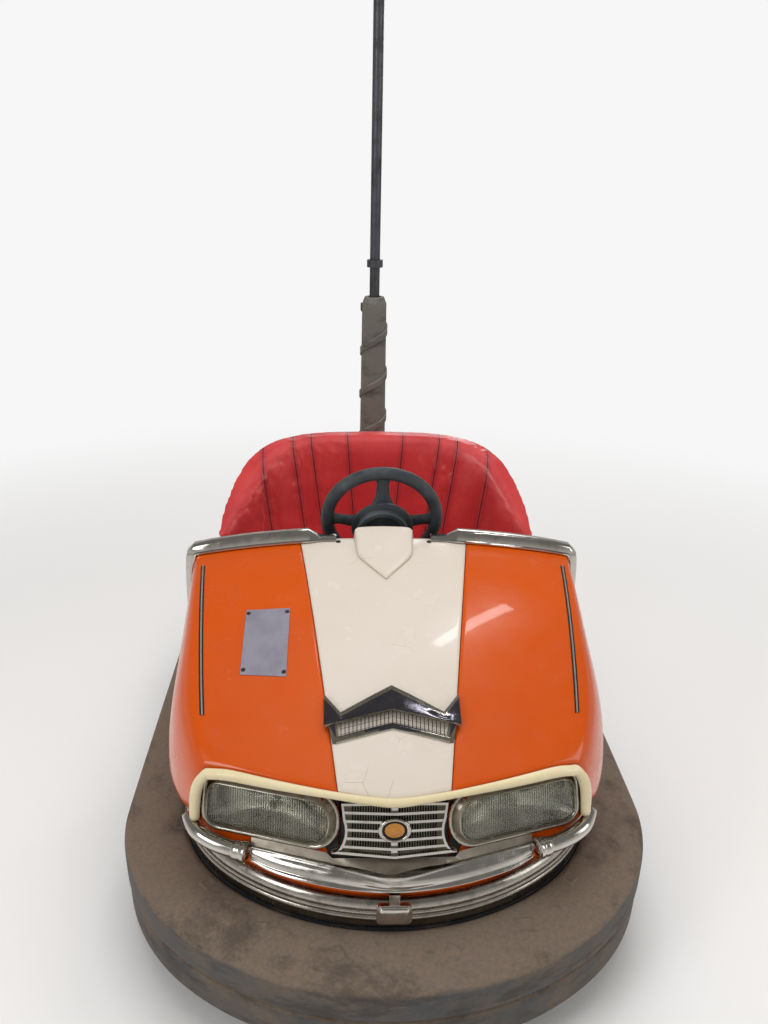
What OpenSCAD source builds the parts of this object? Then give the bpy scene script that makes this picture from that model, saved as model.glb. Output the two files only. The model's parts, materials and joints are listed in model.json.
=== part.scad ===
// A two-seat fairground bumper car: an oval steel chassis in a rubber ring, one driven and steered
// front wheel, two plain rear wheels, a moulded body with a padded bench, and a sprung pick-up mast.
// Millimetres. Origin on the floor under the middle of the car, front towards -Y, +Z up.

/* [Bumper outline] */
// Length over the rubber ring
car_l = 1950; // [1800:10:2100]
// Width over the rubber ring
car_w = 1140; // [1100:10:1200]
// Radius of the outline at the middle of the nose
nose_r = 620; // [610:5:700]
// Half angle of that nose arc in degrees
nose_half = 40; // [30:1:45]
// Radius of the outline at the middle of the tail
tail_r = 700; // [640:5:800]
// Half angle of that tail arc in degrees
tail_half = 34; // [25:1:40]

/* [Rubber ring] */
// Width of the rubber ring, outside to inside
tyre_w = 132; // [125:1:134]
// Height of the rubber ring
tyre_h = 172; // [150:1:200]
// Clearance under the rubber ring
tyre_z = 73; // [60:1:90]

/* [Chassis] */
// Thickness of the ring frame
frame_t = 8; // [5:1:12]
// Thickness of the floor pan
pan_t = 4; // [3:0.5:8]
// Height of the floor pan's underside
pan_z = 100; // [90:1:120]
// Wall of the moulded body
wall = 8; // [5:0.5:12]
// Distance of the painted skirt inside the outline
skirt_in = 150; // [146:1:152]
// Top of the painted skirt
skirt_top = 330; // [322:1:335]
// Radius of the bright base rail
rail_r = 19; // [15:1:22]
// Height of the base rail's middle
rail_z = 287; // [280:1:295]

/* [Front body] */
// Distance of the body's widest line inside the outline
belt_in = 105; // [98:1:112]
// Height of that widest line
belt_z = 385; // [370:1:400]
// Distance of the bonnet's front edge behind the front of the ring
nose_back = 185; // [175:1:200]
// Height of the bonnet's front edge at the middle
nose_z = 497; // [485:1:505]
// Place of the cowl, from the middle of the car
cowl_y = -140; // [-160:1:-120]
// Height of the cowl at the middle
cowl_z = 732; // [724:1:740]
// Half width between the wing crests at the front
crest_w0 = 362; // [345:1:375]
// Distance of the wing crests at the cowl inside the outline
crest_in = 130; // [126:1:140]
// Height of the wing crests at the front
crest_z0 = 515; // [508:1:522]
// Height of the wing crests at the cowl
crest_z1 = 695; // [685:1:702]
// How far the bonnet's front edge sweeps back at the wings
nose_bow = 96; // [80:1:110]
// Half width of the centre panel at the front
panel_w0 = 104; // [90:1:115]
// Half width of the centre panel at the cowl
panel_w1 = 197; // [180:1:205]
// Thickness of the centre panel
panel_t = 6; // [4:0.5:8]

/* [Lamps and grille] */
// Width of a headlamp
lamp_w = 276; // [262:1:280]
// Height of a headlamp
lamp_h = 118; // [112:1:122]
// Corner radius of a headlamp
lamp_r = 46; // [38:1:50]
// Backward lean of the lamps and grille in degrees
face_lean = 14; // [8:1:20]
// Width of the grille at its foot
grille_w = 232; // [222:1:240]
// Height of the grille's sides
grille_h = 96; // [90:1:100]
// Number of bars in the grille
grille_bars = 5; // [4:1:8]

/* [Cockpit] */
// Height of the sill in the doorway
sill_z = 470; // [440:5:520]
// Distance of the body's side at the seat inside the outline
seat_in = 123; // [118:1:135]
// Top of the seat back
seat_top = 775; // [750:1:800]
// Rear face of the seat back at its top, from the middle of the car
seat_y = 545; // [530:1:555]
// Thickness of the seat back's padding
pad_t = 62; // [50:1:75]
// Top of the seat cushion
cushion_z = 395; // [380:1:410]

/* [Steering] */
// Radius of the steering wheel to the middle of its rim
wheel_r = 135; // [130:1:140]
// Radius of the rim's section
rim_r = 16; // [13:0.5:17]
// Slope of the steering column in degrees
column_tilt = 16; // [12:1:17]
// Middle of the steering wheel, from the middle of the car
wheel_y = -30; // [-36:1:-24]
// Height of the steering wheel's middle
wheel_z = 738; // [732:1:744]

/* [Wheels] */
// Radius of the driven wheel
drive_r = 120; // [110:1:125]
// Width of the driven wheel's tread
drive_w = 82; // [60:1:90]
// Place of the driven wheel, from the middle of the car
drive_y = -430; // [-440:1:-415]
// Radius of a rear wheel
rear_r = 76; // [70:1:85]
// Width of a rear wheel
rear_w = 44; // [35:1:50]
// Half the rear track
rear_x = 300; // [280:1:310]
// Place of the rear axle line, from the middle of the car
rear_y = 500; // [460:1:520]
// Radius of the wheel pins
pin_r = 10; // [8:0.5:12]
// Running clearance of a wheel on its pin
run_gap = 0.05; // [0.02:0.01:0.1]

/* [Mast] */
// Distance of the mast inside the rear of the ring
mast_in = 203; // [200:1:210]
// Radius of the mast's pole
pole_r = 15.5; // [13:0.5:18]
// Radius of the padded sleeve
sleeve_r = 42; // [36:0.5:46]
// Top of the padded sleeve
sleeve_top = 1160; // [1050:10:1250]
// Height of the top of the mast
mast_top = 2700; // [2500:10:2900]
// Turns of the cable wound on the sleeve
cable_turns = 3.5; // [2:0.5:5]

/* [Hidden] */
$fn = 64;

orange = "#d95f0a";
cream = "#efe6d2";
bright = "#c9ccd0";
dark = "#33363a";
red = "#a81e28";

seat_gap = 0.3;
hw = car_w / 2;
seat_hw = hw - seat_in;
crest_w1 = hw - crest_in;
mast_y = car_l / 2 - mast_in;
flange_t = 6;

// The outline is three arcs at each end, joined by straight sides.
function end_cx(r, half) = (r - hw) * sin(half) / (1 - sin(half));
nose_cx = end_cx(nose_r, nose_half);
nose_cr = hw - nose_cx;
nose_c0 = -car_l / 2 + nose_r;
nose_cy = nose_c0 - (nose_r - nose_cr) * cos(nose_half);
tail_cx = end_cx(tail_r, tail_half);
tail_cr = hw - tail_cx;
tail_c0 = car_l / 2 - tail_r;
tail_cy = tail_c0 + (tail_r - tail_cr) * cos(tail_half);

function arc(c, r, a0, a1, n) =
    [for (i = [0:n]) let (a = a0 + (a1 - a0) * i / n) [c[0] + r * cos(a), c[1] + r * sin(a)]];

// Right half of the outline from nose to tail, a given distance inside it.
function open_arc(c, r, a0, a1, n) = let (p = arc(c, r, a0, a1, n)) [for (i = [0:n - 1]) p[i]];
function half_outline(inset, n = 9) = concat(
    open_arc([0, nose_c0], nose_r - inset, -90, -90 + nose_half, n),
    arc([nose_cx, nose_cy], nose_cr - inset, -90 + nose_half, 0, n),
    open_arc([tail_cx, tail_cy], tail_cr - inset, 0, 90 - tail_half, n),
    arc([0, tail_c0], tail_r - inset, 90 - tail_half, 90, n));

function outline(inset, n = 9) = let (h = half_outline(inset, n)) concat(
    h, [for (i = [len(h) - 2:-1:1]) [-h[i][0], h[i][1]]]);

// Half width of the outline at a place along the car.
function side_x(y, inset) =
    y < nose_cy ? nose_cx + sqrt(max(1, pow(nose_cr - inset, 2) - pow(y - nose_cy, 2))) :
    y > tail_cy ? tail_cx + sqrt(max(1, pow(tail_cr - inset, 2) - pow(y - tail_cy, 2))) :
    hw - inset;

// Sections of a profile all round the outline. Its x is measured outwards from the outline.
function oval_rows(profile) = let (rings = [for (q = profile) outline(-q[0])], n = len(rings[0]))
    [for (i = [0:n - 1]) [for (k = [0:len(profile) - 1]) [rings[k][i][0], rings[k][i][1], profile[k][1]]]];

// Turns the faces outwards if the body they close came out inside out.
function outward(pts, faces) = let (
    v = [for (f = faces) pts[f[0]] * cross(pts[f[1]], pts[f[2]])] * [for (f = faces) 1])
    v < 0 ? faces : [for (f = faces) [f[2], f[1], f[0]]];

// A closed skin over a row of sections. Each section is a ring of points whose first half and
// second half run side by side, so each end is closed by a strip between the halves. A looped
// row has no ends.
module skin(rows, looped = false) {
    m = len(rows);
    n = len(rows[0]);
    pts = [for (r = rows) for (p = r) p];
    sides = [for (j = [0:m - (looped ? 1 : 2)]) for (i = [0:n - 1]) let (
        a = j * n + i, b = j * n + (i + 1) % n, c = (a + n) % (m * n), d = (b + n) % (m * n))
        each [[a, b, d], [a, d, c]]];
    ends = looped ? [] : [for (j = [0, m - 1]) for (i = [0:n / 2 - 2]) let (
        a = j * n + i, b = a + 1, c = j * n + n - 2 - i, d = c + 1,
        q = [[a, d, c], [a, c, b]])
        each (j == 0 ? q : [for (t = q) [t[2], t[1], t[0]]])];
    polyhedron(points = pts, faces = outward(pts, concat(sides, ends)));
}

// A ring of 2D points with the given radius, for round bars.
function round_ring(r, n) = [for (i = [0:n - 1]) let (a = 360 * (i + 0.5) / n) r * [cos(a), sin(a)]];

// A box outline with rounded corners, centred on the origin.
function rounded_box(w, h, r, n = 6) = concat(
    arc([w / 2 - r, h / 2 - r], r, 0, 90, n), arc([-w / 2 + r, h / 2 - r], r, 90, 180, n),
    arc([-w / 2 + r, -h / 2 + r], r, 180, 270, n), arc([w / 2 - r, -h / 2 + r], r, 270, 360, n));

module oval_plate(inset, z, t) {
    translate([0, 0, z]) linear_extrude(t) polygon(outline(inset));
}

// An upright band round the outline between two insets.
module oval_band(outer, inner, z0, z1) {
    translate([0, 0, z0]) linear_extrude(z1 - z0) difference() {
        polygon(outline(outer));
        polygon(outline(inner));
    }
}

// Chassis
module chassis_frame() {
    ring_in = tyre_w + seat_gap;
    z0 = tyre_z + 14;
    z1 = tyre_z + tyre_h - 6;
    color(dark) {
        oval_band(ring_in, ring_in + frame_t, z0, z1);
        oval_band(ring_in, ring_in + 30, z1 - frame_t, z1);
    }
}

pan_in = tyre_w + 2 * seat_gap + frame_t;
tread_w = 600;
tread_l = 190;
tread_h = 3;
tread_y = 0;
drive_hole = 178;
rear_slot = [rear_w + 24, 2 * rear_r + 20];

// A raised tread pressing under the riders' feet.
module tread_pressing() {
    r = 25;
    for (d = [[tread_w, tread_l - 2 * r], [tread_w - 2 * r, tread_l]])
        translate([-d[0] / 2, tread_y - d[1] / 2, pan_z + 1]) cube([d[0], d[1], pan_t + tread_h - 1]);
    for (sx = [-1, 1], sy = [-1, 1])
        translate([sx * (tread_w / 2 - r), tread_y + sy * (tread_l / 2 - r), pan_z + 1])
            cylinder(r = r, h = pan_t + tread_h - 1);
}

module floor_pan() {
    color(dark) difference() {
        union() {
            oval_plate(pan_in, pan_z, pan_t);
            tread_pressing();
        }
        translate([0, drive_y, pan_z - 1]) cylinder(r = drive_hole, h = pan_t + 2);
        for (s = [-1, 1]) translate([s * rear_x - rear_slot[0] / 2, rear_y - rear_slot[1] / 2, pan_z - 1])
            cube([rear_slot[0], rear_slot[1], pan_t + 2]);
    }
}

// A bridge over the driven wheel that carries its kingpin.
bridge_z = 2 * drive_r + 42;
bridge_x = drive_hole + 12;
bridge_t = 8;
kingpin_r = 25;
bridge_l = 300;

module drive_bridge() {
    color(dark) difference() {
        union() {
            translate([-bridge_x - 40, drive_y - bridge_l / 2, bridge_z])
                cube([2 * bridge_x + 80, bridge_l, bridge_t]);
            for (s = [-1, 1]) translate([s > 0 ? bridge_x : -bridge_x - bridge_t,
                drive_y - bridge_l / 2, pan_z + pan_t])
                cube([bridge_t, bridge_l, bridge_z - pan_z - pan_t]);
            translate([0, drive_y, bridge_z + bridge_t]) cylinder(r = kingpin_r + 20, h = 40);
        }
        translate([0, drive_y, bridge_z - 1]) cylinder(r = kingpin_r, h = 60);
    }
}

cheek_t = 6;
module rear_axle_brackets() {
    cheek_x = rear_w / 2 + 3;
    color(dark) for (s = [-1, 1]) translate([s * rear_x, rear_y, 0]) {
        for (k = [-1, 1]) translate([k > 0 ? cheek_x : -cheek_x - cheek_t, -35, rear_r - 22])
            cube([cheek_t, 70, pan_z + pan_t + 60 - rear_r + 22]);
        translate([-cheek_x - cheek_t, 0, rear_r]) rotate([0, 90, 0])
            cylinder(r = pin_r, h = 2 * (cheek_x + cheek_t));
        for (k = [-1, 1]) translate([k > 0 ? cheek_x : -cheek_x - cheek_t - 12, -rear_r - 22, pan_z + pan_t])
            cube([cheek_t + 12, 2 * rear_r + 44, 5]);
    }
}

module rubber_ring() {
    x0 = -tyre_w;
    z0 = tyre_z;
    z1 = tyre_z + tyre_h;
    step = 0.47 * tyre_h;
    color("#3b3634") skin(oval_rows(concat(
        [[x0, z0 + 10], [x0 + 14, z0], [-26, z0]],
        arc([-17, z0 + 16], 12, -90, 0, 4),
        [[-4, z0 + step - 7], [-10, z0 + step - 2], [-10, z0 + step + 2], [-1, z0 + step + 8]],
        arc([-14, z1 - 34], 14, 0, 64, 4),
        [[-40, z1 - 10], [-80, z1 - 1], [x0 + 12, z1]],
        [[x0, z1 - 8]])), looped = true);
}

// The rail is a bead over two ribs and a foot, which hide the lower edge of the skirt.
rail_out = 1.06 * rail_r;
module base_rail() {
    x = -skirt_in + seat_gap;
    r = rail_r;
    foot = tyre_z + tyre_h - 3;
    color(bright) skin(oval_rows(concat(
        [[x, rail_z + r]], arc([x, rail_z], r, 75, -5, 5),
        [[x + r * 0.88, rail_z - r * 0.28], [x + r, rail_z - r * 0.42], [x + r, rail_z - r * 0.68],
        [x + r * 0.9, rail_z - r * 0.82], [x + rail_out, rail_z - r * 0.98],
        [x + rail_out, rail_z - r * 1.24], [x + r * 0.9, rail_z - r * 1.4], [x + r * 0.8, foot],
        [x, foot]])), looped = true);
}

module base_rail_clamp() {
    front = car_l / 2 - skirt_in + rail_out;
    h = 2 * rail_r + 6;
    color(bright) difference() {
        translate([0, -front - 9, rail_z - 1]) rotate([90, 0, 0]) {
            linear_extrude(2) polygon(rounded_box(60, h - 6, 9));
            translate([0, 0, -12]) linear_extrude(12.1) polygon(rounded_box(66, h, 11));
        }
        translate([0, 0, rail_z - 2 * rail_r]) linear_extrude(4 * rail_r)
            polygon(outline(skirt_in - rail_out - 0.6));
    }
    color(bright) translate([-10, -front - 8, rail_z + 6]) cube([20, 6.5, lip_z - 2.5 - rail_z - 6]);
}

module body_skirt() {
    z0 = tyre_z + tyre_h - 6 + seat_gap;
    color(orange) {
        oval_band(skirt_in, skirt_in + wall, z0, skirt_top);
        oval_band(skirt_in, skirt_in + wall + 14, skirt_top - flange_t, skirt_top);
    }
}

// Front body
nose_y = -car_l / 2 + nose_back;
function mix(a, b, t) = a + (b - a) * t;
function rise(v, p) = 1 - pow(1 - v, p);
function crest_w(v) = mix(crest_w0, crest_w1, pow(v, 0.85));
function crest_z(v) = mix(crest_z0, crest_z1, rise(v, 1.4));
function mid_z(v) = mix(nose_z, cowl_z, rise(v, 1.5));
function row_y(v) = mix(nose_y, cowl_y, v);
function bow(v) = nose_bow * pow(1 - v, 1.6);
function panel_w(v) = mix(panel_w0, panel_w1, v);

// A point of the bonnet's top at a share v of the way to the cowl and a distance x off the middle.
function top_point(v, x, drop = 0) = let (s = min(1, abs(x) / crest_w(v))) [
    x, row_y(v) + bow(v) * pow(s, 1.35),
    mix(mid_z(v), crest_z(v), pow(s, mix(1.2, 2.2, v))) - drop];

// Height of the bonnet's top over a place across and along the car.
function v_at(y) = (y - nose_y) / (cowl_y - nose_y);
function skin_v(x, y, v, n = 3) = let (w = v_at(y - bow(v) * pow(min(1, abs(x) / crest_w(v)), 1.35)))
    n == 0 ? w : skin_v(x, y, w, n - 1);
function skin_z(x, y) = top_point(skin_v(x, y, v_at(y)), x)[2];

// A point of the wing's side, from the crest at q = 0 to the belt at q = 1.
function side_point(v, q, inward = 0) = let (
    y = row_y(v) + bow(v), wb = side_x(y, belt_in), w = crest_w(v), z = crest_z(v)) [
    mix(w, wb, sin(90 * q)) - inward * min(1, 0.35 + q), y,
    mix(belt_z, z, cos(90 * q)) - inward * max(0, 1 - 1.5 * q)];

function tuck_point(v, inward = 0) = let (y = row_y(v) + bow(v)) [
    side_x(y, mix(belt_in, skirt_in, 0.5)) - inward, y, mix(skirt_top, belt_z, 0.3)];

function foot_point(v, inward = 0) = let (y = row_y(v) + bow(v)) [
    side_x(y, skirt_in) - inward, y, skirt_top + seat_gap];

function mirrored(list) = [for (i = [len(list) - 1:-1:0]) [-list[i][0], list[i][1], list[i][2]]];

side_steps = 6;
top_steps = 8;
panel_steps = 4;
front_rows = 18;
groove = 2;

// Right half of a bonnet section, from the foot of the wing to the middle.
function half_section(v, t) = concat(
    [foot_point(v, t), tuck_point(v, t)],
    [for (k = [side_steps:-1:1]) side_point(v, k / side_steps, t)],
    [for (k = [0:top_steps]) top_point(v, mix(crest_w(v), panel_w(v) + groove, k / top_steps), t)],
    [for (k = [0:panel_steps]) top_point(v, mix(panel_w(v) + groove - 0.5, 0, k / panel_steps),
        t + panel_t + seat_gap)]);

function full_section(v, t) = let (h = half_section(v, t), n = len(h)) concat(
    h, [for (i = [n - 2:-1:0]) [-h[i][0], h[i][1], h[i][2]]]);

module front_shell() {
    color(orange) skin([for (j = [0:front_rows]) let (v = j / front_rows) concat(
        full_section(v, 0), [for (i = [2 * len(half_section(v, 0)) - 2:-1:0]) full_section(v, wall)[i]])]);
}

module bonnet_panel() {
    n = 6;
    color(cream) skin([for (j = [0:front_rows]) let (v = j / front_rows) concat(
        [for (k = [-n:n]) top_point(v, -panel_w(v) * k / n)],
        [for (k = [-n:n]) top_point(v, panel_w(v) * k / n, panel_t)])]);
}

// Rear body. Every section stands in an upright plane through a centre under the seat.
rear_c = 200;
seat_tops = [[0, 500], [12.6, 600], [25.5, 700], [33, 756], [44, 788], [55, 799], [66, 802], [90, 802]];
door_tops = [[-140, 640], [-110, 560], [-70, 500], [-20, 474], [60, 470], [140, 480], [200, 500]];
deck_s = [0, 0.08, 0.15, 0.3, 0.45, 0.62, 0.75, 0.87, 1];
function clamp(v) = max(0, min(1, v));
function smooth(v) = let (c = clamp(v)) c * c * (3 - 2 * c);
function top_rho(th) =
    pow(pow(abs(cos(th)) / seat_hw, 2.5) + pow(abs(sin(th)) / (seat_y - rear_c), 2.5), -0.4);
function rear_feet() = concat(
    [for (i = [0:9]) let (y = mix(cowl_y + seat_gap, tail_cy, i / 10)) [side_x(y, skirt_in), y]],
    arc([tail_cx, tail_cy], tail_cr - skirt_in, 0, 90 - tail_half, 12),
    [for (p = arc([0, tail_c0], tail_r - skirt_in, 90 - tail_half, 90, 7)) if (p[0] < tail_cx
        + (tail_cr - skirt_in) * sin(tail_half) - 1) p]);
function rear_angle(p) = p[1] < rear_c ? 0 : atan2(p[1] - rear_c, p[0]);
function rear_centre(p) = [0, min(p[1], rear_c)];
function rim_z(p) = p[1] < rear_c ? lookup(p[1], door_tops) + sill_z - 470 :
    lookup(rear_angle(p), seat_tops) * (seat_top - sill_z) / 332 + 470 * (1 - (seat_top - sill_z) / 332)
    + sill_z - 470;
function rim_rho(p) = p[1] < rear_c ? seat_hw : top_rho(rear_angle(p));

// Outer profile of the rear body over a foot point, as distance from the centre and height.
function rear_profile(p) = let (
    rf = norm(p - rear_centre(p)), rb = rf + skirt_in - belt_in, rt = rim_rho(p), zt = rim_z(p),
    w = smooth((rear_angle(p) - 20) / 45), zb = belt_z) concat(
    [[rf, skirt_top + seat_gap], [mix(rf, rb, 0.7), mix(skirt_top, belt_z, 0.45)]],
    [for (s = deck_s) let (
        a = [mix(rb, rt, pow(s, 1.7)), mix(zb, zt, s)],
        b = [lookup(s, [[0, rb], [0.15, rb - 12], [0.3, rb - 45], [0.45, rb - 120],
            [0.62, rt + 34], [0.75, rt + 16], [1, rt]]),
            lookup(s, [[0, zb], [0.15, zb + 55], [0.3, 496], [0.45, 522], [0.62, 556], [0.75, 610],
            [1, zt]])]) mix(a, b, w)]);
function inner_profile(f, t) = let (n = len(f)) [for (i = [0:n - 1]) let (
    d = f[min(i + 1, n - 1)] - f[max(i - 1, 0)], u = d / norm(d))
    [f[i][0] - t * (i == 0 || i == n - 1 ? 1 : u[1]), max(skirt_top + seat_gap,
    f[i][1] + t * (i == 0 || i == n - 1 ? 0 : u[0]))]];
function stand_up(p, f) = let (c = rear_centre(p), u = (p - c) / norm(p - c))
    [for (q = f) [c[0] + u[0] * q[0], c[1] + u[1] * q[0], q[1]]];
function flip_x(ring) = [for (q = ring) [-q[0], q[1], q[2]]];
function reversed(list) = [for (i = [len(list) - 1:-1:0]) list[i]];
function rear_ring(p) = let (f = rear_profile(p)) stand_up(p, concat(f, reversed(inner_profile(f, wall))));

// Completes a row of right-hand sections with their mirror images round the tail.
function both_sides(rows) = let (n = len(rows)) concat(rows,
    [for (i = [n - 2:-1:0]) flip_x(rows[i])]);

module rear_shell() {
    color(orange) difference() {
        skin(both_sides([for (p = rear_feet()) rear_ring(p)]));
        translate([0, mast_y, belt_z + 45]) cylinder(r = socket_r + 3, h = 150);
    }
}

// Cockpit
bulkhead_y = -262;

// The front shell's inside at a place along the car, as points across and up.
function inside_half(v, t) = let (w = panel_w(v) + groove + 8) concat(
    [foot_point(v, t), tuck_point(v, t)], [for (k = [side_steps:-1:1]) side_point(v, k / side_steps, t)],
    [for (k = [0:top_steps]) top_point(v, mix(crest_w(v), w, k / top_steps), t)],
    [for (k = [0:panel_steps - 1]) top_point(v, w * (1 - k / panel_steps), t + panel_t + seat_gap)]);
function inside_shape(y) = let (
    h = inside_half(v_at(y - 5 - bow(v_at(y))), wall + 1.2),
    p = [for (q = h) [q[0], q[2]]]) concat(p, [for (i = [len(p) - 1:-1:0]) [-p[i][0], p[i][1]]]);

module bulkhead() {
    x = hw - skirt_in - wall - 28;
    z = pan_z + pan_t + seat_gap;
    color(dark) translate([0, bulkhead_y, 0]) rotate([90, 0, 0]) linear_extrude(5)
        polygon(concat([[-x, z], [x, z], [x, skirt_top + 2]], inside_shape(bulkhead_y),
            [[-x, skirt_top + 2]]));
}

module dash_panel() {
    y = cowl_y - 14;
    color(dark) translate([0, y, 0]) rotate([90, 0, 0]) linear_extrude(5) difference() {
        polygon(inside_shape(y));
        translate([-600, 0]) square([1200, 525]);
    }
}

// Nose
lamp_x = 232;
lamp_y = nose_y + 55;
lamp_z = 430;
lamp_turn = 17;
grille_y = nose_y;
grille_z = 436;
module on_face(x, y, z, turn = 0) {
    translate([x, y, z]) rotate([0, 0, turn]) rotate([90 - face_lean, 0, 0]) children();
}

// Outline of a headlamp, its outer end less rounded than its inner end.
function lamp_outline(grow, n = 6) = let (w = lamp_w / 2 + grow, h = lamp_h / 2 + grow,
    a = lamp_r - 8 + grow, b = lamp_r + 8 + grow) concat(
    arc([w - a, h - a], a, 0, 90, n), arc([-w + b, h - b], b, 90, 180, n),
    arc([-w + b, -h + b], b, 180, 270, n), arc([w - a, -h + a], a, 270, 360, n));

tuck_y0 = nose_y + nose_bow - 0.4;

// The body's tuck-under from its widest line down to the skirt, at a place along the car.
function tuck_ring(y, top) = let (
    a = mix(belt_in, skirt_in, 0.5), b = mix(skirt_in, belt_in + 2, top))
    [for (q = [[skirt_in, 0], [a, 0.3], [b, top], [b + wall, top], [a + wall, 0.3], [skirt_in + wall, 0]])
    [side_x(y, q[0]), y, mix(skirt_top + seat_gap, belt_z, q[1])]];

module nose_panel() {
    color(orange) {
        on_face(0, grille_y, grille_z) translate([0, 0, -16.3]) linear_extrude(8)
            polygon([[-97, -102.5], [97, -102.5], [97, 54], [-97, 54]]);
        for (s = [0, 1]) mirror([s, 0, 0]) on_face(lamp_x, lamp_y, lamp_z, lamp_turn)
            translate([0, 0, -8]) linear_extrude(6) difference() {
                polygon([[-lamp_w / 2 - 2, -101], [0, -101], [80, -80], [lamp_w / 2 + 1, -48],
                    [lamp_w / 2 + 1, 20], [lamp_w / 2 - 10, 58], [-lamp_w / 2 + 8, 58]]);
                polygon(lamp_outline(-6));
            }
        translate([0, 0, skirt_top + seat_gap]) linear_extrude(6) intersection() {
            difference() {
                polygon(outline(skirt_in + 2));
                polygon(outline(skirt_in + 50));
            }
            translate([-500, -1000]) square([1000, 1000 + tuck_y0]);
        }
        for (s = [0, 1]) mirror([s, 0, 0])
            skin([for (k = [0:5])
                tuck_ring(mix(tuck_y0, tuck_y0 - 37, k / 5), lookup(k, [[1, 0.98], [5, 0.4]]))]);
    }
}

// The brow runs from the bumper's end up round the lamp and over the grille. It is thickest
// beside the lamp, so each point holds the radius of the section there.
brow_side = [[0.98, 10.5], [0.8, 11.5], [0.62, 12], [0.44, 12], [0.28, 12], [0.14, 11.5]];
function brow_top_r(k) = mix(11.5, 7, smooth(k / 10));
function brow_path() = concat(
    [for (b = brow_side) side_point(0, b[0]) + [-b[1] + 5, -b[1] - 1.6, -4 * (1 - b[0])]],
    [for (k = [0:12]) let (r = brow_top_r(k))
        top_point(0, mix(crest_w0 - 10, 0, k / 12)) + [0, -r - 1.6, 2.5 - r]]);

function unit(v) = v / norm(v);
function swept(path, rings, up = [0, 0, 1]) = let (n = len(path)) [for (i = [0:n - 1]) let (
    t = unit(path[min(i + 1, n - 1)] - path[max(i - 1, 0)]), s = unit(cross(t, up)), u = cross(s, t))
    [for (p = is_list(rings[0][0]) ? rings[i] : rings) path[i] + p[0] * s + p[1] * u]];

module brow_moulding() {
    half = brow_path();
    radii = concat([for (b = brow_side) b[1]], [for (k = [0:12]) brow_top_r(k)]);
    n = len(half);
    path = concat(half, reversed(flip_x([for (i = [0:n - 2]) half[i]])));
    color(cream) skin(swept(path, [for (i = [0:2 * n - 2]) round_ring(radii[min(i, 2 * n - 2 - i)], 10)],
        [0, -1, 0.2]));
}

// A lamp's rim: a flat flange with a wall standing forward of it, which holds the glass.
bezel_profile = [[0, 0], [0.4, 4], [-2, 6.5], [-5.5, 6.5], [-7.5, 4.5], [-8.5, 14], [-10, 18], [-12, 19],
    [-13, 18], [-13, -9], [-6.4, -9], [-6.4, 0]];
module headlamp_bezel(s) {
    rings = [for (q = bezel_profile) [for (p = lamp_outline(q[0])) [p[0], p[1], q[1]]]];
    color(bright) mirror([s, 0, 0]) on_face(lamp_x, lamp_y, lamp_z, lamp_turn)
        skin([for (i = [0:len(rings[0]) - 1]) [for (r = rings) r[i]]], looped = true);
}

// Rings of a domed shell inside the headlamp's outline: share of the outline and height.
function lamp_rings(grow, table) = [for (q = table)
    [for (p = lamp_outline(grow)) [p[0] * q[0], p[1] * q[0], q[1]]]];

module headlamp_lens(s) {
    color([0.8, 0.85, 0.88, 0.5]) mirror([s, 0, 0]) on_face(lamp_x, lamp_y, lamp_z, lamp_turn)
        skin(lamp_rings(-13.3, [[0.06, 24], [0.5, 22.5], [0.82, 19], [0.95, 15], [1, 12.5], [1, 16.5],
            [0.95, 19], [0.82, 23], [0.5, 26.5], [0.06, 28]]));
}

module headlamp_reflector(s) {
    color(bright) mirror([s, 0, 0]) on_face(lamp_x, lamp_y, lamp_z, lamp_turn)
        skin(lamp_rings(-13.3, [[0.06, -48], [0.5, -42], [0.8, -22], [0.96, 6], [1, 12], [1, 8],
            [0.84, -26], [0.53, -46], [0.06, -52]]));
}

// The grille's sides follow the round inner ends of the lamps.
grille_up = 46.5;
grille_dip = 12;
module grille_shape(g) {
    r = lamp_r + 8 + 7 + g;
    cx = lamp_x - (lamp_w / 2 - lamp_r - 8) * cos(lamp_turn);
    cy = (lamp_z - grille_z) / cos(face_lean);
    foot = grille_up - grille_h;
    turn = asin((cy - foot - g - 3) / r);
    side = concat([[98 - g, grille_up - g]], arc([cx, cy], -r, -20, turn, 6),
        [[grille_w / 2 - 1.6 * g, foot + g]]);
    polygon(concat([for (q = reversed(side)) q], [for (q = side) [-q[0], q[1]]],
        [[0, foot - grille_dip + g]]));
}

// A bar right across the grille, bent down in the middle.
module grille_bar(share, h) {
    y = grille_up - grille_h * share;
    d = mix(5, grille_dip, share);
    polygon([[-140, y + h / 2], [0, y - d + h / 2], [140, y + h / 2], [140, y - h / 2],
        [0, y - d - h / 2], [-140, y - h / 2]]);
}

module grille() {
    pitch = 4.8;
    spine = 12;
    back = 4.7;
    count = floor((lamp_x - lamp_w / 2 - 16) / pitch);
    color(bright) on_face(0, grille_y, grille_z) {
        translate([0, 0, -back]) linear_extrude(back + 7) difference() {
            grille_shape(0);
            grille_shape(4.5);
        }
        linear_extrude(5.5) intersection() {
            grille_shape(2);
            union() for (i = [1:grille_bars]) grille_bar(i / (grille_bars + 1), 5);
        }
        translate([0, 0, -back]) linear_extrude(back + 0.5) intersection() {
            grille_shape(2);
            square([spine, 200], center = true);
        }
        translate([0, 0, -back - 3]) linear_extrude(2.7) difference() {
            grille_shape(0.5);
            intersection() {
                grille_shape(6);
                union() for (i = [-count:count]) translate([i * pitch - 1.6, -80]) square([3.2, 140]);
            }
        }
    }
}

function ellipse(a, b, n = 32) = [for (i = [0:n - 1]) [a * cos(360 * i / n), b * sin(360 * i / n)]];

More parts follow.
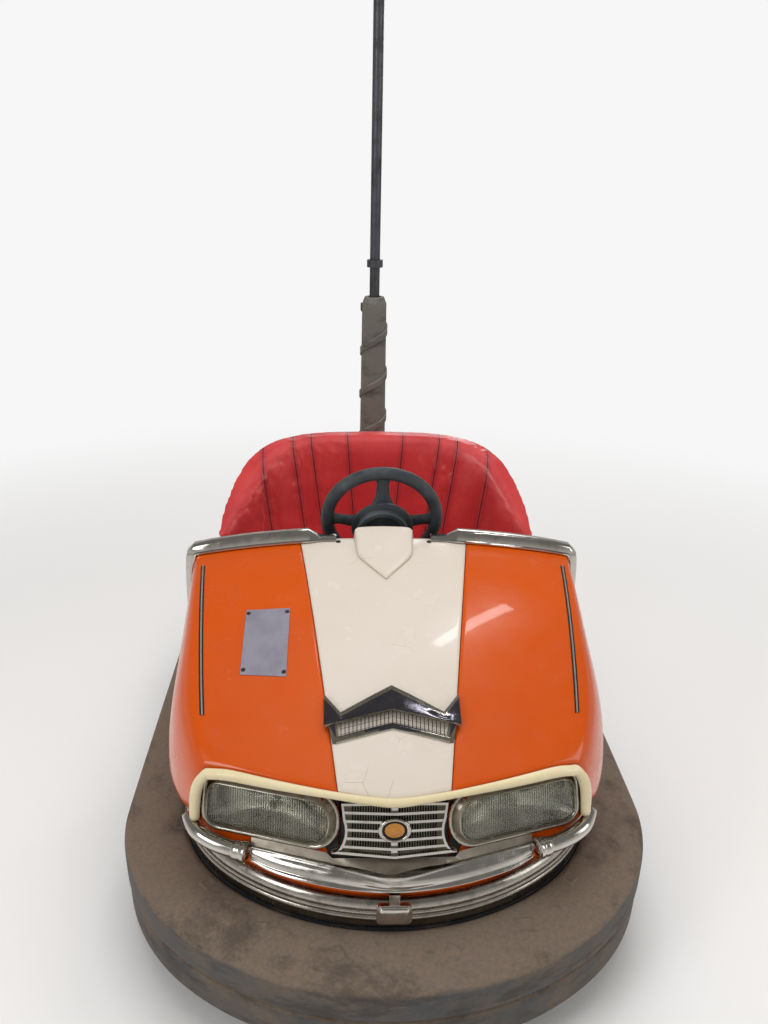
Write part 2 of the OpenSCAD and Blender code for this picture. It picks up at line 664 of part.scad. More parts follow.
module grille_badge() {
    color("#b9791f") on_face(0, grille_y, grille_z) translate([0, -6, 5.8]) {
        linear_extrude(3) difference() {
            polygon(ellipse(31, 24));
            polygon(ellipse(23.5, 17));
        }
        translate([0, 0, 2.9]) linear_extrude(2) difference() {
            polygon(ellipse(29, 22));
            polygon(ellipse(25, 18.5));
        }
        linear_extrude(1.5) polygon(ellipse(24, 17.5));
        linear_extrude(3.5) polygon(ellipse(18, 13));
        linear_extrude(5) polygon(ellipse(14, 9.5));
    }
}

// Front bumper
// The blade's top edge is a V seen from above, and its lower lip a round arc.
ridge_z = 362;
ridge_front = nose_y - 62;
ridge_slope = 0.348;
lip_z = 334;
lip_front = nose_y - 59;
lip_bend = 0.00106;
blade_half = 268;
clamp_x = 288;
clamp_y = nose_y + 26.5;
clamp_z = 358.5;
clamp_turn = 19;
tube_r = 13;
function ridge_y(x) = ridge_front + abs(x) * ridge_slope;
function lip_y(x) = lip_front + lip_bend * x * x;

// Section of the blade: a folded top edge, a swollen face, a groove and a lip.
face_shape = [[0.1, 1.2], [0.3, 4], [0.55, 4.2], [0.72, 1.2], [0.8, 1], [0.86, 3], [1, 3]];
function blade_ring(x) = let (
    r = [ridge_y(x), ridge_z], k = smooth((abs(x) - 235) / 40) * 0.55,
    l = mix([lip_y(x), lip_z], [ridge_y(x) - 3, lip_z + 10], k), e = unit(l - r), m = [e[1], -e[0]],
    out = concat([r + [6, 0], r + [3, 2.6], r + [-1, 2.2]],
        [for (q = face_shape) mix(r, l, q[0]) + m * q[1]]),
    back = concat([r + [6, -3], r + [3, -1], r + [1.5, -2]],
        [for (q = face_shape) mix(r, l, q[0]) + m * (q[1] - 3)]))
    [for (q = concat(out, reversed(back))) [x, q[0], q[1]]];
module bumper_bar() {
    axis = [cos(clamp_turn), sin(clamp_turn)];
    start = [clamp_x, clamp_y, clamp_z] - 13 * [axis[0], axis[1], 0];
    half = concat([start, start + 26 * [axis[0], axis[1], 0]],
        [for (q = [[25, 8.5, 1.5], [50, 17.5, 4.5], [72, 30.5, 8.5], [91, 44.5, 12.5], [109, 73.5, 23.5]])
        [clamp_x, clamp_y, clamp_z] + q]);
    color(bright) {
        skin([for (x = [-blade_half, -256, -235, -180, -120, -60, 0, 60, 120, 180, 235, 256, blade_half])
            blade_ring(x)]);
        for (s = [0, 1]) mirror([s, 0, 0])
            skin(swept(half, [for (i = [0:6]) round_ring(i == 6 ? 8 : tube_r, 12)]));
    }
}

module bumper_shelf() {
    t = 3;
    half = [0, 82, 114, 126, 190, 258];
    color(bright) skin([for (x = concat([for (i = [5:-1:1]) -half[i]], half)) let (
        a = abs(x), yf = ridge_y(x) + 6.6, z = ridge_z,
        yb = a < 116 ? nose_y - 10.5 : nose_y + 33 + (a - 234) * 0.306, up = a < 116 ? 9 : 4)
        [[x, yf, z - 2.5], [x, yb, z - 2.5 + up], [x, yb, z - 2.5 + up + t], [x, yf, z - 2.5 + t]]]);
}

module overriders() {
    color(bright) for (s = [0, 1]) mirror([s, 0, 0]) translate([clamp_x, clamp_y, clamp_z])
        rotate([0, 0, clamp_turn]) rotate([0, 90, 0]) rotate_extrude() polygon([
            [tube_r + 0.3, -15], [18, -15], [20.5, -13], [20.5, -6], [18.5, -4], [19, 6], [17.5, 12],
            [15, 15], [tube_r + 0.3, 15]]);
}

// Bonnet fittings
// An air scoop across the centre panel: a W-shaped hood with a mesh under its front lip.
scoop_y = nose_y + 200;
scoop_valley = 100;
scoop_w = panel_w(v_at(scoop_y - 12)) + 1;
scoop_h = 19;
function scoop_rear(x) = let (a = abs(x)) a < scoop_valley ? scoop_y - 0.5 * a :
    scoop_y - 0.5 * scoop_valley + 38 * (a - scoop_valley) / (scoop_w - scoop_valley);
function scoop_lip(x) = scoop_y - 53 - 0.185 * abs(x);
function scoop_foot(x) = scoop_y - 76 - 0.2 * abs(x);
function scoop_ring(x) = let (
    yr = scoop_rear(x), yl = scoop_lip(x), zr = skin_z(x, yr) + 0.7, zl = skin_z(x, yl) + scoop_h,
    out = [[yr + 3, zr + 1.4], [yr + 1, zr + 12], [yr - 2, zr + 13], [yr - 10, zr + 9],
        [mix(yr - 10, yl, 0.5), mix(zr + 9, zl, 0.6)], [yl + 4, zl + 1], [yl, zl - 1], [yl + 0.5, zl - 6]],
    back = [[yr, zr + 0.4], [yr - 2, zr + 9], [yr - 4, zr + 9.5], [yr - 10, zr + 5.5],
        [mix(yr - 10, yl + 7, 0.5), mix(zr + 6, zl, 0.6) - 3], [yl + 7, zl - 3], [yl + 5, zl - 4.5],
        [yl + 3.5, zl - 6.5]])
    [for (q = concat(out, reversed(back))) [x, q[0], q[1]]];

// A point at a height over the panel, for the scoop's frame.
function over_panel(x, y, h) = [x, y, skin_z(x, y) + h];

module bonnet_scoop() {
    mouth = 108;
    color(bright) {
        skin([for (x = [-scoop_w, -118, -scoop_valley, -66, -33, 0, 33, 66, scoop_valley, 118, scoop_w])
            scoop_ring(x)]);
        skin([for (k = [-4:4]) let (x = mouth * k / 4, y = scoop_foot(x)) [
            over_panel(x, y - 3, 0.7), over_panel(x, y - 3, 4), over_panel(x, y, 6.5),
            over_panel(x, y + 5, 5.5), over_panel(x, y + 8, 4), over_panel(x, y + 8, 0.7)]]);
        for (s = [0, 1]) mirror([s, 0, 0]) {
            top = scoop_lip(mouth + 10);
            low = scoop_foot(mouth);
            z = skin_z(mouth + 10, top) + scoop_h - 3;
            skin([[over_panel(mouth - 5, low - 2, 0.7), over_panel(mouth + 7, low - 2, 0.7),
                over_panel(mouth + 7, low + 16, 0.7), over_panel(mouth - 5, low + 16, 0.7)],
                [[mouth + 3, top + 0.5, z], [mouth + 15, top + 0.5, z], [mouth + 15, top + 15, z],
                [mouth + 3, top + 15, z]]]);
        }
        for (i = [-13:13]) let (x = i * 7.6, y0 = scoop_foot(x) + 2, y1 = scoop_lip(x) + 3.4,
            z1 = skin_z(x, scoop_lip(x)) + scoop_h - 4.5) skin([
            [over_panel(x - 0.8, y0, 4), over_panel(x + 0.8, y0, 4), over_panel(x + 0.8, y0 + 2, 4),
            over_panel(x - 0.8, y0 + 2, 4)],
            [[x - 0.8, y1, z1], [x + 0.8, y1, z1], [x + 0.8, y1 + 2, z1], [x - 0.8, y1 + 2, z1]]]);
    }
}

// Hat section of the cowl's rail, as distance over the body and forwards.
hat = [[-1, 20], [-4, 20], [-6, 15], [-19, 11], [-24, 7], [-25, -14], [-21, -19], [-1, -19]];
module cowl_rail(s) {
    tab = 0.34;
    y = cowl_y - 2;
    stops = [for (q = [[0.2545, 0.3], [0.2636, tab], [0.341, tab], [0.4, 1], [0.5227, 1], [0.6818, 1],
        [0.8182, 0.98], [0.9205, 0.95]]) [q[0] * crest_w1, q[1]]];
    turns = [[0.04, 0.9], [0.1, 0.85], [0.2, 0.78], [0.32, 0.66], [0.48, 0.5], [0.62, 0.35]];
    path = concat([for (q = stops) [q[0], y, skin_z(q[0], y)]],
        [for (q = turns) side_point(v_at(y), q[0])]);
    sizes = concat([for (q = stops) q[1]], [for (q = turns) q[1]]);
    color(bright) mirror([s, 0, 0]) skin(swept(path,
        [for (k = sizes) [for (h = hat) [h[0] < -1.5 ? -1 + (h[0] + 1) * k : h[0], h[1] * mix(0.6, 1, k)]]],
        [0, -1, 0]));
}

module wing_strips() {
    strip_w = 8;
    color(bright) for (s = [0, 1]) mirror([s, 0, 0]) skin([for (k = [0:8]) let (v = mix(0.17, 0.89, k / 8),
        x = crest_w(v) - mix(4, 12, v), p = top_point(v, x) + [0, 0, 0.6],
        q = top_point(v, x - strip_w) + [0, 0, 0.6])
        [p, q, q + [0.8, 0, 2.8], p + [-0.8, 0, 2.8]]]);
}

plate_y = -478;
plate_x = -256;
module blank_plate() {
    color("#a7abb0") skin([for (j = [0:4]) let (y = plate_y - 90 + 45 * j, v = v_at(y)) [
        for (x = [-47, -23, 0, 23, 47]) top_point(v, plate_x + x) + [0, 0, 0.6],
        for (x = [47, 23, 0, -23, -47]) top_point(v, plate_x + x) + [0, 0, 2.6]]]);
}

// A row of the steering nacelle's hood, some way in from its outside. Seen from above it is a
// shield with its point forwards.
nacelle_l = 165;
nacelle_w = 71;
nacelle_shoulder = 63;
nacelle_h = 27;
function hood_ring(u, t) = let (
    y = mix(cowl_y - nacelle_l, cowl_y + 1, u),
    w = max(1, lookup(u, [[0, 0.5], [0.47, nacelle_shoulder], [1, nacelle_w]]) - t),
    zs = skin_z(0, min(y, cowl_y)), zb = zs + seat_gap - (t > 0 ? 2 : 0),
    zf = skin_z(0, cowl_y - nacelle_l) + seat_gap + 1,
    zt = max(zs + seat_gap + 1, mix(zf, cowl_z + nacelle_h, u) - t))
    [[-w, y, zb], [w, y, zb], [w * 0.96, y, mix(zs, zt, 0.75)], [w * 0.84, y, mix(zs, zt, 0.94)],
    [w * 0.3, y, zt + 0.5], [-w * 0.3, y, zt + 0.5], [-w * 0.84, y, mix(zs, zt, 0.94)],
    [-w * 0.96, y, mix(zs, zt, 0.75)]];

module steering_nacelle() {
    rear = hood_ring(1, 0);
    low = wheel_z - (wheel_y - cowl_y) * tan(column_tilt) - column_r - 16;
    color(cream) difference() {
        skin([for (j = [0:8]) hood_ring(j / 8, 0)]);
        skin([for (j = [1:7]) hood_ring(mix(0, 1.02, j / 7), 5)]);
    }
    color(cream) difference() {
        translate([0, cowl_y + 6.4, 0]) rotate([90, 0, 0]) linear_extrude(6) polygon(concat(
            [[-40, low], [40, low], [nacelle_w, cowl_z - 12]], [for (i = [1:7]) [rear[i][0], rear[i][2]]],
            [[-nacelle_w, cowl_z], [-nacelle_w, cowl_z - 12]]));
        on_column(-190) cylinder(r = column_r + 0.3, h = 190);
    }
}

module on_column(d = 0) {
    translate([0, wheel_y, wheel_z]) rotate([column_tilt - 90, 0, 0]) translate([0, 0, d]) children();
}

column_r = 13;
spigot_r = 10;
module column_tube() {
    color(dark) {
        on_column(-109) cylinder(r = column_r, h = 109 - 50.3);
        on_column(-54) cylinder(r = spigot_r, h = 28);
    }
}

// Half widths and half thicknesses of a broad spoke along its way from the hub to the rim.
spoke_shape = [[0, 30, 9], [0.22, 24, 8], [0.5, 17, 7], [0.75, 15, 6.5], [1, 22, 6.5]];
module steering_wheel() {
    r = spigot_r + run_gap;
    color(dark) on_column() {
        rotate_extrude() translate([wheel_r, 0]) circle(r = rim_r, $fn = 24);
        rotate_extrude() polygon([[r, -50], [44, -50], [44, -62], [50, -62], [52, -59], [52, -46],
            [62, -43], [63, -37], [55, -22], [43, -8], [32, 2], [18, 6], [0, 7], [0, -22], [r, -22]]);
        for (a = [-90, 0, 180]) rotate([0, 0, a]) skin(swept(
            [for (q = spoke_shape) [mix(22, wheel_r - 2, q[0]), 0, mix(-20, 0, smooth(q[0]))]],
            [for (q = spoke_shape) ellipse(q[1], q[2], 12)]));
    }
}

// Seat
plinth_y = 130;
plinth_top = 326;
module seat_plinth() {
    x = hw - skirt_in - wall - 28;
    z = pan_z + pan_t + seat_gap;
    color(dark) {
        translate([-x, plinth_y, z]) cube([2 * x, 5, plinth_top - z]);
        translate([-x + 5, plinth_y, plinth_top - 5]) cube([2 * x - 10, 380, 5]);
        for (s = [-1, 1]) translate([s * 150 - 2.5, plinth_y + 3, z]) cube([5, 380, plinth_top - z - 3]);
    }
}

module seat_cushion() {
    z = plinth_top + seat_gap;
    w = seat_hw - 43;
    color(red) skin([for (k = [0:5]) let (q = [[0.94, 0], [1, 0.14], [1, 0.72], [0.985, 0.9], [0.95, 0.98],
        [0.8, 1]][k]) [for (p = [[4 - w, -190], [w - 4, -190], [w, 0], [w - 24, 130], [w - 104, 178],
        [104 - w, 178], [24 - w, 130], [-w, 0]]) [p[0] * q[0], plinth_y + 170 + p[1] * q[0],
        mix(z, cushion_z, q[1])]]]);
}

module seat_back() {
    rows = [for (p = rear_feet()) if (rear_angle(p) > 5) let (rt = rim_rho(p), ri = rt - wall - 0.6,
        zt = rim_z(p), z0 = cushion_z + seat_gap,
        g = pad_t * smooth(0.25 + (rear_angle(p) - 5) / 25)) stand_up(p, [
        [ri, z0], [ri, zt + 1.2], [rt + 5, zt + 1.5], [rt + 7, zt + 12], [rt - 4, zt + 20],
        [ri - g * 0.55, zt + 20], [ri - g * 0.9, zt + 2], [ri - g * 1.02, zt - 30],
        [ri - g, mix(z0, zt, 0.5)], [ri - g, z0]])];
    color(red) skin(both_sides(rows));
}

module pedal() {
    color(dark) {
        translate([90, -186, pan_z + pan_t + seat_gap]) {
            translate([-40, 0, 0]) cube([80, 60, 6]);
            translate([-38, 2, 5]) rotate([38, 0, 0]) translate([0, 0, 0]) cube([76, 6, 100]);
        }
    }
}

// Mast
socket_r = 26;
deck_z = 497;
socket_top = 760;
pole_stroke = 80;
module mast_socket() {
    z0 = pan_z + pan_t + seat_gap;
    color(dark) translate([0, mast_y, 0]) {
        difference() {
            translate([0, 0, z0]) cylinder(r = socket_r, h = socket_top - z0);
            translate([0, 0, z0 + 8]) cylinder(r = pole_r + 1, h = socket_top);
        }
        translate([-34, -34, z0]) cube([68, 60, 6]);
    }
}

module mast_sleeve() {
    color("#55554f") translate([0, mast_y, 0]) rotate_extrude() polygon([
        [socket_r + 0.4, 540], [sleeve_r + 6, 540], [sleeve_r, 560], [sleeve_r - 4, sleeve_top - 20],
        [sleeve_r - 12, sleeve_top], [pole_r + 5, sleeve_top], [pole_r + 5, socket_top + 6],
        [socket_r + 0.4, socket_top]]);
}

module mast_cable() {
    z0 = 640;
    z1 = 1130;
    n = round(cable_turns * 20);
    path = [for (i = [0:n]) let (a = 360 * cable_turns * i / n, z = mix(z0, z1, i / n),
        r = mix(sleeve_r + 1.2, sleeve_r - 2.8, clamp((z - 560) / (sleeve_top - 580))))
        [r * cos(a), mast_y + r * sin(a), z]];
    color(dark) skin([for (p = path) let (c = [0, mast_y, p[2]], u = unit(p - c))
        [p - [0, 0, 13], p + [0, 0, 13], p + u * 4 + [0, 0, 11], p + u * 4 - [0, 0, 11]]]);
}

module mast_pole() {
    color(dark) translate([0, mast_y, 0]) {
        translate([0, 0, 300]) cylinder(r = pole_r, h = mast_top - 60 - 300);
        translate([0, 0, sleeve_top + 10 + pole_stroke]) cylinder(r = pole_r + 9, h = 22);
    }
}

module mast_contact() {
    color("#a87a3a") translate([0, mast_y, mast_top - 60.2]) {
        translate([0, 0, 0.4]) cylinder(r = 13, h = 54);
        translate([0, 0, 60 - 160]) rotate([0, -90, 0]) rotate([0, 0, -32]) translate([0, 0, -22])
            rotate_extrude(angle = 64, $fn = 96) translate([152, 0]) square([8, 44]);
    }
}

// Wheels
fork_x = drive_w / 2 + 7;
module drive_fork() {
    top = bridge_z - 6;
    color(dark) translate([0, drive_y, 0]) {
        translate([0, 0, top - 12]) cylinder(r = 80, h = 12);
        translate([0, 0, top - 1]) cylinder(r = kingpin_r - run_gap, h = 72);
        for (s = [-1, 1]) translate([s > 0 ? fork_x : -fork_x - 10, -30, drive_r - 26])
            cube([10, 60, top - 12 - drive_r + 27]);
        translate([-fork_x - 10, 0, drive_r]) rotate([0, 90, 0]) cylinder(r = pin_r, h = 2 * fork_x + 20);
    }
}

module drive_motor() {
    color("#3f5a6b") translate([fork_x + 10 + seat_gap, drive_y, drive_r]) rotate([0, 90, 0])
        cylinder(r = 64, h = 82);
}

module drive_wheel() {
    color("#26282a") translate([-drive_w / 2, drive_y, drive_r]) rotate([0, 90, 0]) difference() {
        cylinder(r = drive_r, h = drive_w);
        translate([0, 0, -1]) cylinder(r = pin_r + run_gap, h = drive_w + 2);
    }
}

module rear_wheel(s) {
    color("#26282a") translate([s * rear_x - rear_w / 2, rear_y, rear_r]) rotate([0, 90, 0]) difference() {
        cylinder(r = rear_r, h = rear_w);
        translate([0, 0, -1]) cylinder(r = pin_r + run_gap, h = rear_w + 2);
    }
}

chassis_frame();
floor_pan();
drive_bridge();
rear_axle_brackets();
rubber_ring();
base_rail();
base_rail_clamp();
body_skirt();
front_shell();
bonnet_panel();
rear_shell();
bulkhead();
dash_panel();
nose_panel();
brow_moulding();
headlamp_bezel(1);  // headlamp_bezel_left
headlamp_bezel(0);  // headlamp_bezel_right
headlamp_lens(1);  // headlamp_lens_left
headlamp_lens(0);  // headlamp_lens_right
headlamp_reflector(1);  // headlamp_reflector_left
headlamp_reflector(0);  // headlamp_reflector_right
grille();
grille_badge();
bumper_bar();
bumper_shelf();
overriders();
bonnet_scoop();
cowl_rail(1);  // cowl_rail_left
cowl_rail(0);  // cowl_rail_right
wing_strips();
blank_plate();
steering_nacelle();
column_tube();
steering_wheel();
seat_plinth();
seat_cushion();
seat_back();
pedal();
mast_socket();
mast_sleeve();
mast_cable();
mast_pole();
mast_contact();
drive_fork();
drive_motor();
drive_wheel();
rear_wheel(-1);  // rear_wheel_left
rear_wheel(1);  // rear_wheel_right
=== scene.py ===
import json
import math

import bmesh
import bpy
from mathutils import Matrix, Vector
from mathutils.bvhtree import BVHTree


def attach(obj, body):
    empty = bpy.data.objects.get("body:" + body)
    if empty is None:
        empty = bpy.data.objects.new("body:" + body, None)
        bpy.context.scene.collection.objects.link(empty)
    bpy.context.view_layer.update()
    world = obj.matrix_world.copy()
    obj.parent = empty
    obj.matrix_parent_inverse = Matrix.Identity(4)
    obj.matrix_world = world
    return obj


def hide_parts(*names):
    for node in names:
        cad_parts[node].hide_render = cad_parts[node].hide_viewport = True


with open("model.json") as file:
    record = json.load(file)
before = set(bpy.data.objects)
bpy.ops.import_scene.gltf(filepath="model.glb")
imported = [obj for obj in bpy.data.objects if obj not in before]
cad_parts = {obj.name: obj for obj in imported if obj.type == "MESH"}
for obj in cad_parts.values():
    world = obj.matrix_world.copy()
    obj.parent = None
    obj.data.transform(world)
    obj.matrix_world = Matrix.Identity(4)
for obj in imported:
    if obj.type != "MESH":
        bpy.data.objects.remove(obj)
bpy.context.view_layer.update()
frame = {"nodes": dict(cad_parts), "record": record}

# A two-seat fairground bumper car. Metres, front towards -Y, +Z up.

MM = 0.001
NODES = frame["nodes"]
BODY_OF = {name: body for body, names in frame["record"]["behaviour"]["bodies"].items() for name in names}
SLOT_OF = {part["node"]: part["material_slot"] for part in frame["record"]["subparts"]}
PIVOT_OF = {joint["name"]: joint.get("pos_m") for joint in frame["record"]["behaviour"]["joints"]}
NOSE_Y = -0.79
FACE_LEAN = 14

# The lamps: the middle of the right one's face, and how far both are turned outwards.
LAMP_AT = (0.232, NOSE_Y + 0.055, 0.43)
LAMP_TURN = 17

# The seams of the seat back: the distance from the middle at seat height, and how fast it grows with height.
SEAM_FOOT_Z = 0.523
SEAMS = ((0.063, 0.077), (0.161, 0.117), (0.215, 0.117), (0.308, 0.101))


# Materials: one function adds a node with its settings and links.

def put(tree, kind, inputs=None, **settings):
    """Adds a shader node. An input is another node's socket, or a plain value."""
    node = tree.nodes.new("ShaderNode" + kind)
    for name, value in settings.items():
        setattr(node, name, value)
    for name, value in (inputs or {}).items():
        if isinstance(value, bpy.types.NodeSocket):
            tree.links.new(value, node.inputs[name])
        else:
            node.inputs[name].default_value = value
    return node


def math_node(tree, operation, first, second=0.0, third=0.0, clamp=False):
    """One step of arithmetic. A value is a number or another node's socket."""
    node = put(tree, "Math", {0: first, 1: second, 2: third}, operation=operation, use_clamp=clamp)
    return node.outputs[0]


def linear(hexcode):
    """An sRGB hex colour as the linear colour that shaders take."""
    parts = [int(hexcode[i:i + 2], 16) / 255 for i in (1, 3, 5)]
    return (*[c / 12.92 if c <= 0.04045 else ((c + 0.055) / 1.055) ** 2.4 for c in parts], 1)


def surface(name, **constants):
    """A new material, its node tree and its main shader, with constants set on the shader's own sockets."""
    material = bpy.data.materials.new(name)
    material.use_nodes = True
    tree = material.node_tree
    tree.nodes.clear()
    shader = put(tree, "BsdfPrincipled", {k.replace("_", " "): v for k, v in constants.items()})
    out = put(tree, "OutputMaterial", {"Surface": shader.outputs[0]})
    out.target = "ALL"
    return material, tree, shader


def place(tree, scale=(1, 1, 1), turn=(0, 0, 0)):
    """The piece's own coordinates in metres, scaled along each axis."""
    coords = put(tree, "TexCoord").outputs["Object"]
    return put(tree, "Mapping", {"Vector": coords, "Scale": scale, "Rotation": turn}).outputs[0]


def cloudy(tree, where, size_mm, detail=3.0, roughness=0.55):
    """Noise whose blotches are about size_mm across, from 0 to 1."""
    return put(tree, "TexNoise", {"Vector": where, "Scale": 1000 / size_mm, "Detail": detail,
                                  "Roughness": roughness}).outputs["Fac"]


def between(tree, fac, low, high, at=(0.35, 0.65)):
    """A value that goes from low to high as fac goes through a range."""
    return put(tree, "MapRange", {"Value": fac, "From Min": at[0], "From Max": at[1],
                                  "To Min": low, "To Max": high}).outputs[0]


def blend_colours(tree, fac, first, second):
    """Two colours mixed by fac. Each is a hex colour or another node's socket."""
    mix = put(tree, "Mix", data_type="RGBA")
    tree.links.new(fac, mix.inputs[0])
    for socket, colour in ((mix.inputs[6], first), (mix.inputs[7], second)):
        if isinstance(colour, str):
            socket.default_value = linear(colour)
        else:
            tree.links.new(colour, socket)
    return mix.outputs[2]


def relief(tree, shader, height, depth_mm, strength=1.0):
    """Bump of a given depth in millimetres."""
    bump = put(tree, "Bump", {"Height": height, "Distance": depth_mm * MM, "Strength": strength})
    tree.links.new(bump.outputs[0], shader.inputs["Normal"])


def gelcoat(name, colour, shade, craze):
    """Polished polyester gelcoat over glass fibre, hand laid in a mould: deep even colour under a hard
    gloss, with the slight waviness of the mould, hair cracks in places and a film of dust."""
    material, tree, shader = surface(name, Coat_Weight=0.3, Coat_Roughness=0.04, IOR=1.4)
    where = place(tree)
    tone = blend_colours(tree, between(tree, cloudy(tree, where, 260), 0, 1, (0.3, 0.7)), colour, shade)
    dust = between(tree, cloudy(tree, where, 45, 6), 0, 0.03, (0.5, 0.8))
    tone = blend_colours(tree, dust, tone, "#A8988A")
    lines = put(tree, "TexVoronoi", {"Vector": where, "Scale": 1000 / 70}, feature="DISTANCE_TO_EDGE")
    patch = between(tree, cloudy(tree, where, 120, 1), 0, craze, (0.6, 0.66))
    hair = math_node(tree, "MULTIPLY", between(tree, lines.outputs["Distance"], 1, 0, (0, 0.008)), patch)
    tree.links.new(blend_colours(tree, hair, tone, "#6E5C50"), shader.inputs["Base Color"])
    tree.links.new(between(tree, cloudy(tree, where, 60, 5), 0.18, 0.28), shader.inputs["Roughness"])
    relief(tree, shader, cloudy(tree, where, 55, 1), 0.12, 0.3)
    return material


def chrome(name, colour, haze, dirt="#5C5348", grime=0.25):
    """Electroplated chromium on pressed steel: a mirror with a slight haze, small pits, and brown grime
    where a cloth never reaches."""
    material, tree, shader = surface(name, Metallic=1.0)
    where = place(tree)
    pits = put(tree, "TexVoronoi", {"Vector": where, "Scale": 1000 / 6}, feature="F1")
    pit = between(tree, pits.outputs["Distance"], 0.8, 0, (0.05, 0.12))
    worn = between(tree, cloudy(tree, where, 60, 5), 0, 1, (0.45, 0.7))
    pitted = math_node(tree, "MULTIPLY", pit, worn)
    film = between(tree, cloudy(tree, where, 34, 6, 0.65), 0, grime, (0.5, 0.72))
    tone = blend_colours(tree, film, colour, dirt)
    tree.links.new(blend_colours(tree, pitted, tone, "#3C342C"), shader.inputs["Base Color"])
    tree.links.new(between(tree, cloudy(tree, where, 25, 6), haze, haze + 0.16), shader.inputs["Roughness"])
    relief(tree, shader, cloudy(tree, where, 18, 2), 0.08, 0.3)
    return material


def rubber(name, colour, dust, dust_at=(0.35, 0.75)):
    """Moulded black rubber that has been rubbed and dusted for years: matt, brown on what faces up."""
    material, tree, shader = surface(name, IOR=1.45, Specular_IOR_Level=0.35)
    where = place(tree)
    up = put(tree, "SeparateXYZ", {"Vector": put(tree, "NewGeometry").outputs["Normal"]}).outputs["Z"]
    patches = cloudy(tree, where, 90, 8, 0.65)
    lift = math_node(tree, "ADD", between(tree, up, 0, 0.45, (0.2, 0.95)), patches)
    tone = blend_colours(tree, between(tree, lift, 0, 1, dust_at), colour, dust)
    fine = between(tree, cloudy(tree, where, 7, 4), 0, 0.35)
    tone = blend_colours(tree, fine, tone, colour)
    rubbed = between(tree, cloudy(tree, place(tree, (1, 1, 3)), 150, 8, 0.7), 0, 0.5, (0.5, 0.62))
    tree.links.new(blend_colours(tree, rubbed, tone, "#2E2B2B"), shader.inputs["Base Color"])
    tree.links.new(between(tree, patches, 0.62, 0.85), shader.inputs["Roughness"])
    relief(tree, shader, cloudy(tree, where, 1.6, 3), 0.25, 0.5)
    return material


def satin(name, colour, worn, rough=0.45, grain_mm=4.0, metallic=0.0, depth_mm=0.1):
    """Plain satin finish, such as brushed paint, moulded plastic or bare steel, with blotchy wear."""
    material, tree, shader = surface(name, Metallic=metallic)
    where = place(tree)
    wear = cloudy(tree, where, 50, 7, 0.6)
    tree.links.new(blend_colours(tree, between(tree, wear, 0, 1, (0.45, 0.75)), colour, worn),
                   shader.inputs["Base Color"])
    tree.links.new(between(tree, wear, rough, rough + 0.18), shader.inputs["Roughness"])
    relief(tree, shader, cloudy(tree, where, grain_mm, 4), depth_mm, 0.5)
    return material


def seam_distance(tree):
    """The distance in metres to the nearest seam of the seat back, measured across it, and the height."""
    xyz = put(tree, "SeparateXYZ", {"Vector": place(tree)}).outputs
    side = math_node(tree, "ABSOLUTE", xyz["X"])
    height = math_node(tree, "SUBTRACT", xyz["Z"], SEAM_FOOT_Z)
    nearest = None
    for foot, slope in SEAMS:
        line = math_node(tree, "MULTIPLY_ADD", height, slope, foot)
        far = math_node(tree, "ABSOLUTE", math_node(tree, "SUBTRACT", side, line))
        nearest = far if nearest is None else math_node(tree, "MINIMUM", nearest, far)
    return nearest, xyz["Z"]


def vinyl(name, seamed=False):
    """Calendered vinyl leathercloth over foam: a fine pebbled grain, a soft sheen, and pale scuffs. A seamed
    one carries painted shade that darkens towards a fold at each seam and along its rows of stitches, with a
    row of pale stitches on both sides of it."""
    material, tree, shader = surface(name, Sheen_Weight=0.2, Sheen_Roughness=0.4, Coat_Weight=0.25,
                                     Coat_Roughness=0.22)
    where = place(tree)
    tone = blend_colours(tree, between(tree, cloudy(tree, where, 120, 4), 0, 1), "#D43C3C", "#C02C31")
    scuffs = between(tree, cloudy(tree, place(tree, (1, 1, 0.4)), 35, 7, 0.62), 0, 0.35, (0.56, 0.78))
    tone = blend_colours(tree, scuffs, tone, "#D65C5A")
    grain = put(tree, "TexVoronoi", {"Vector": where, "Scale": 1000 / 1.9}, feature="SMOOTH_F1")
    height = math_node(tree, "MULTIPLY", grain.outputs["Distance"], 0.12)
    creases = cloudy(tree, place(tree, (1, 1, 0.3), (0.3, 0.2, 0)), 26, 2)
    height = math_node(tree, "ADD", height, creases)
    if seamed:
        far, z = seam_distance(tree)
        painted_fold_shade = between(tree, far, 1, 0, (0.0005, 0.0016))
        row = between(tree, math_node(tree, "ABSOLUTE", math_node(tree, "SUBTRACT", far, 0.0036)), 1, 0,
                      (0.0004, 0.0009))
        beat = math_node(tree, "SINE", math_node(tree, "MULTIPLY", z, math.tau / 0.0065))
        stitch = math_node(tree, "MULTIPLY", row, between(tree, beat, 0, 1, (-0.35, -0.1)))
        # Painted shade: the padding darkens as it rolls down into each seam, darkest in the fold, and along
        # the stitch rows.
        tone = blend_colours(tree, between(tree, far, 0.55, 0, (0.002, 0.012)), tone, "#8A1820")
        tone = blend_colours(tree, painted_fold_shade, tone, "#4E0A12")
        tone = blend_colours(tree, math_node(tree, "MULTIPLY", row, 0.55), tone, "#6E101A")
        tone = blend_colours(tree, stitch, tone, "#C86068")
        height = math_node(tree, "SUBTRACT", height, math_node(tree, "MULTIPLY", row, 0.5))
        height = math_node(tree, "ADD", height, math_node(tree, "MULTIPLY", stitch, 0.8))
    tree.links.new(tone, shader.inputs["Base Color"])
    tree.links.new(between(tree, cloudy(tree, where, 60, 5), 0.34, 0.48), shader.inputs["Roughness"])
    relief(tree, shader, height, 0.6, 0.6)
    return material


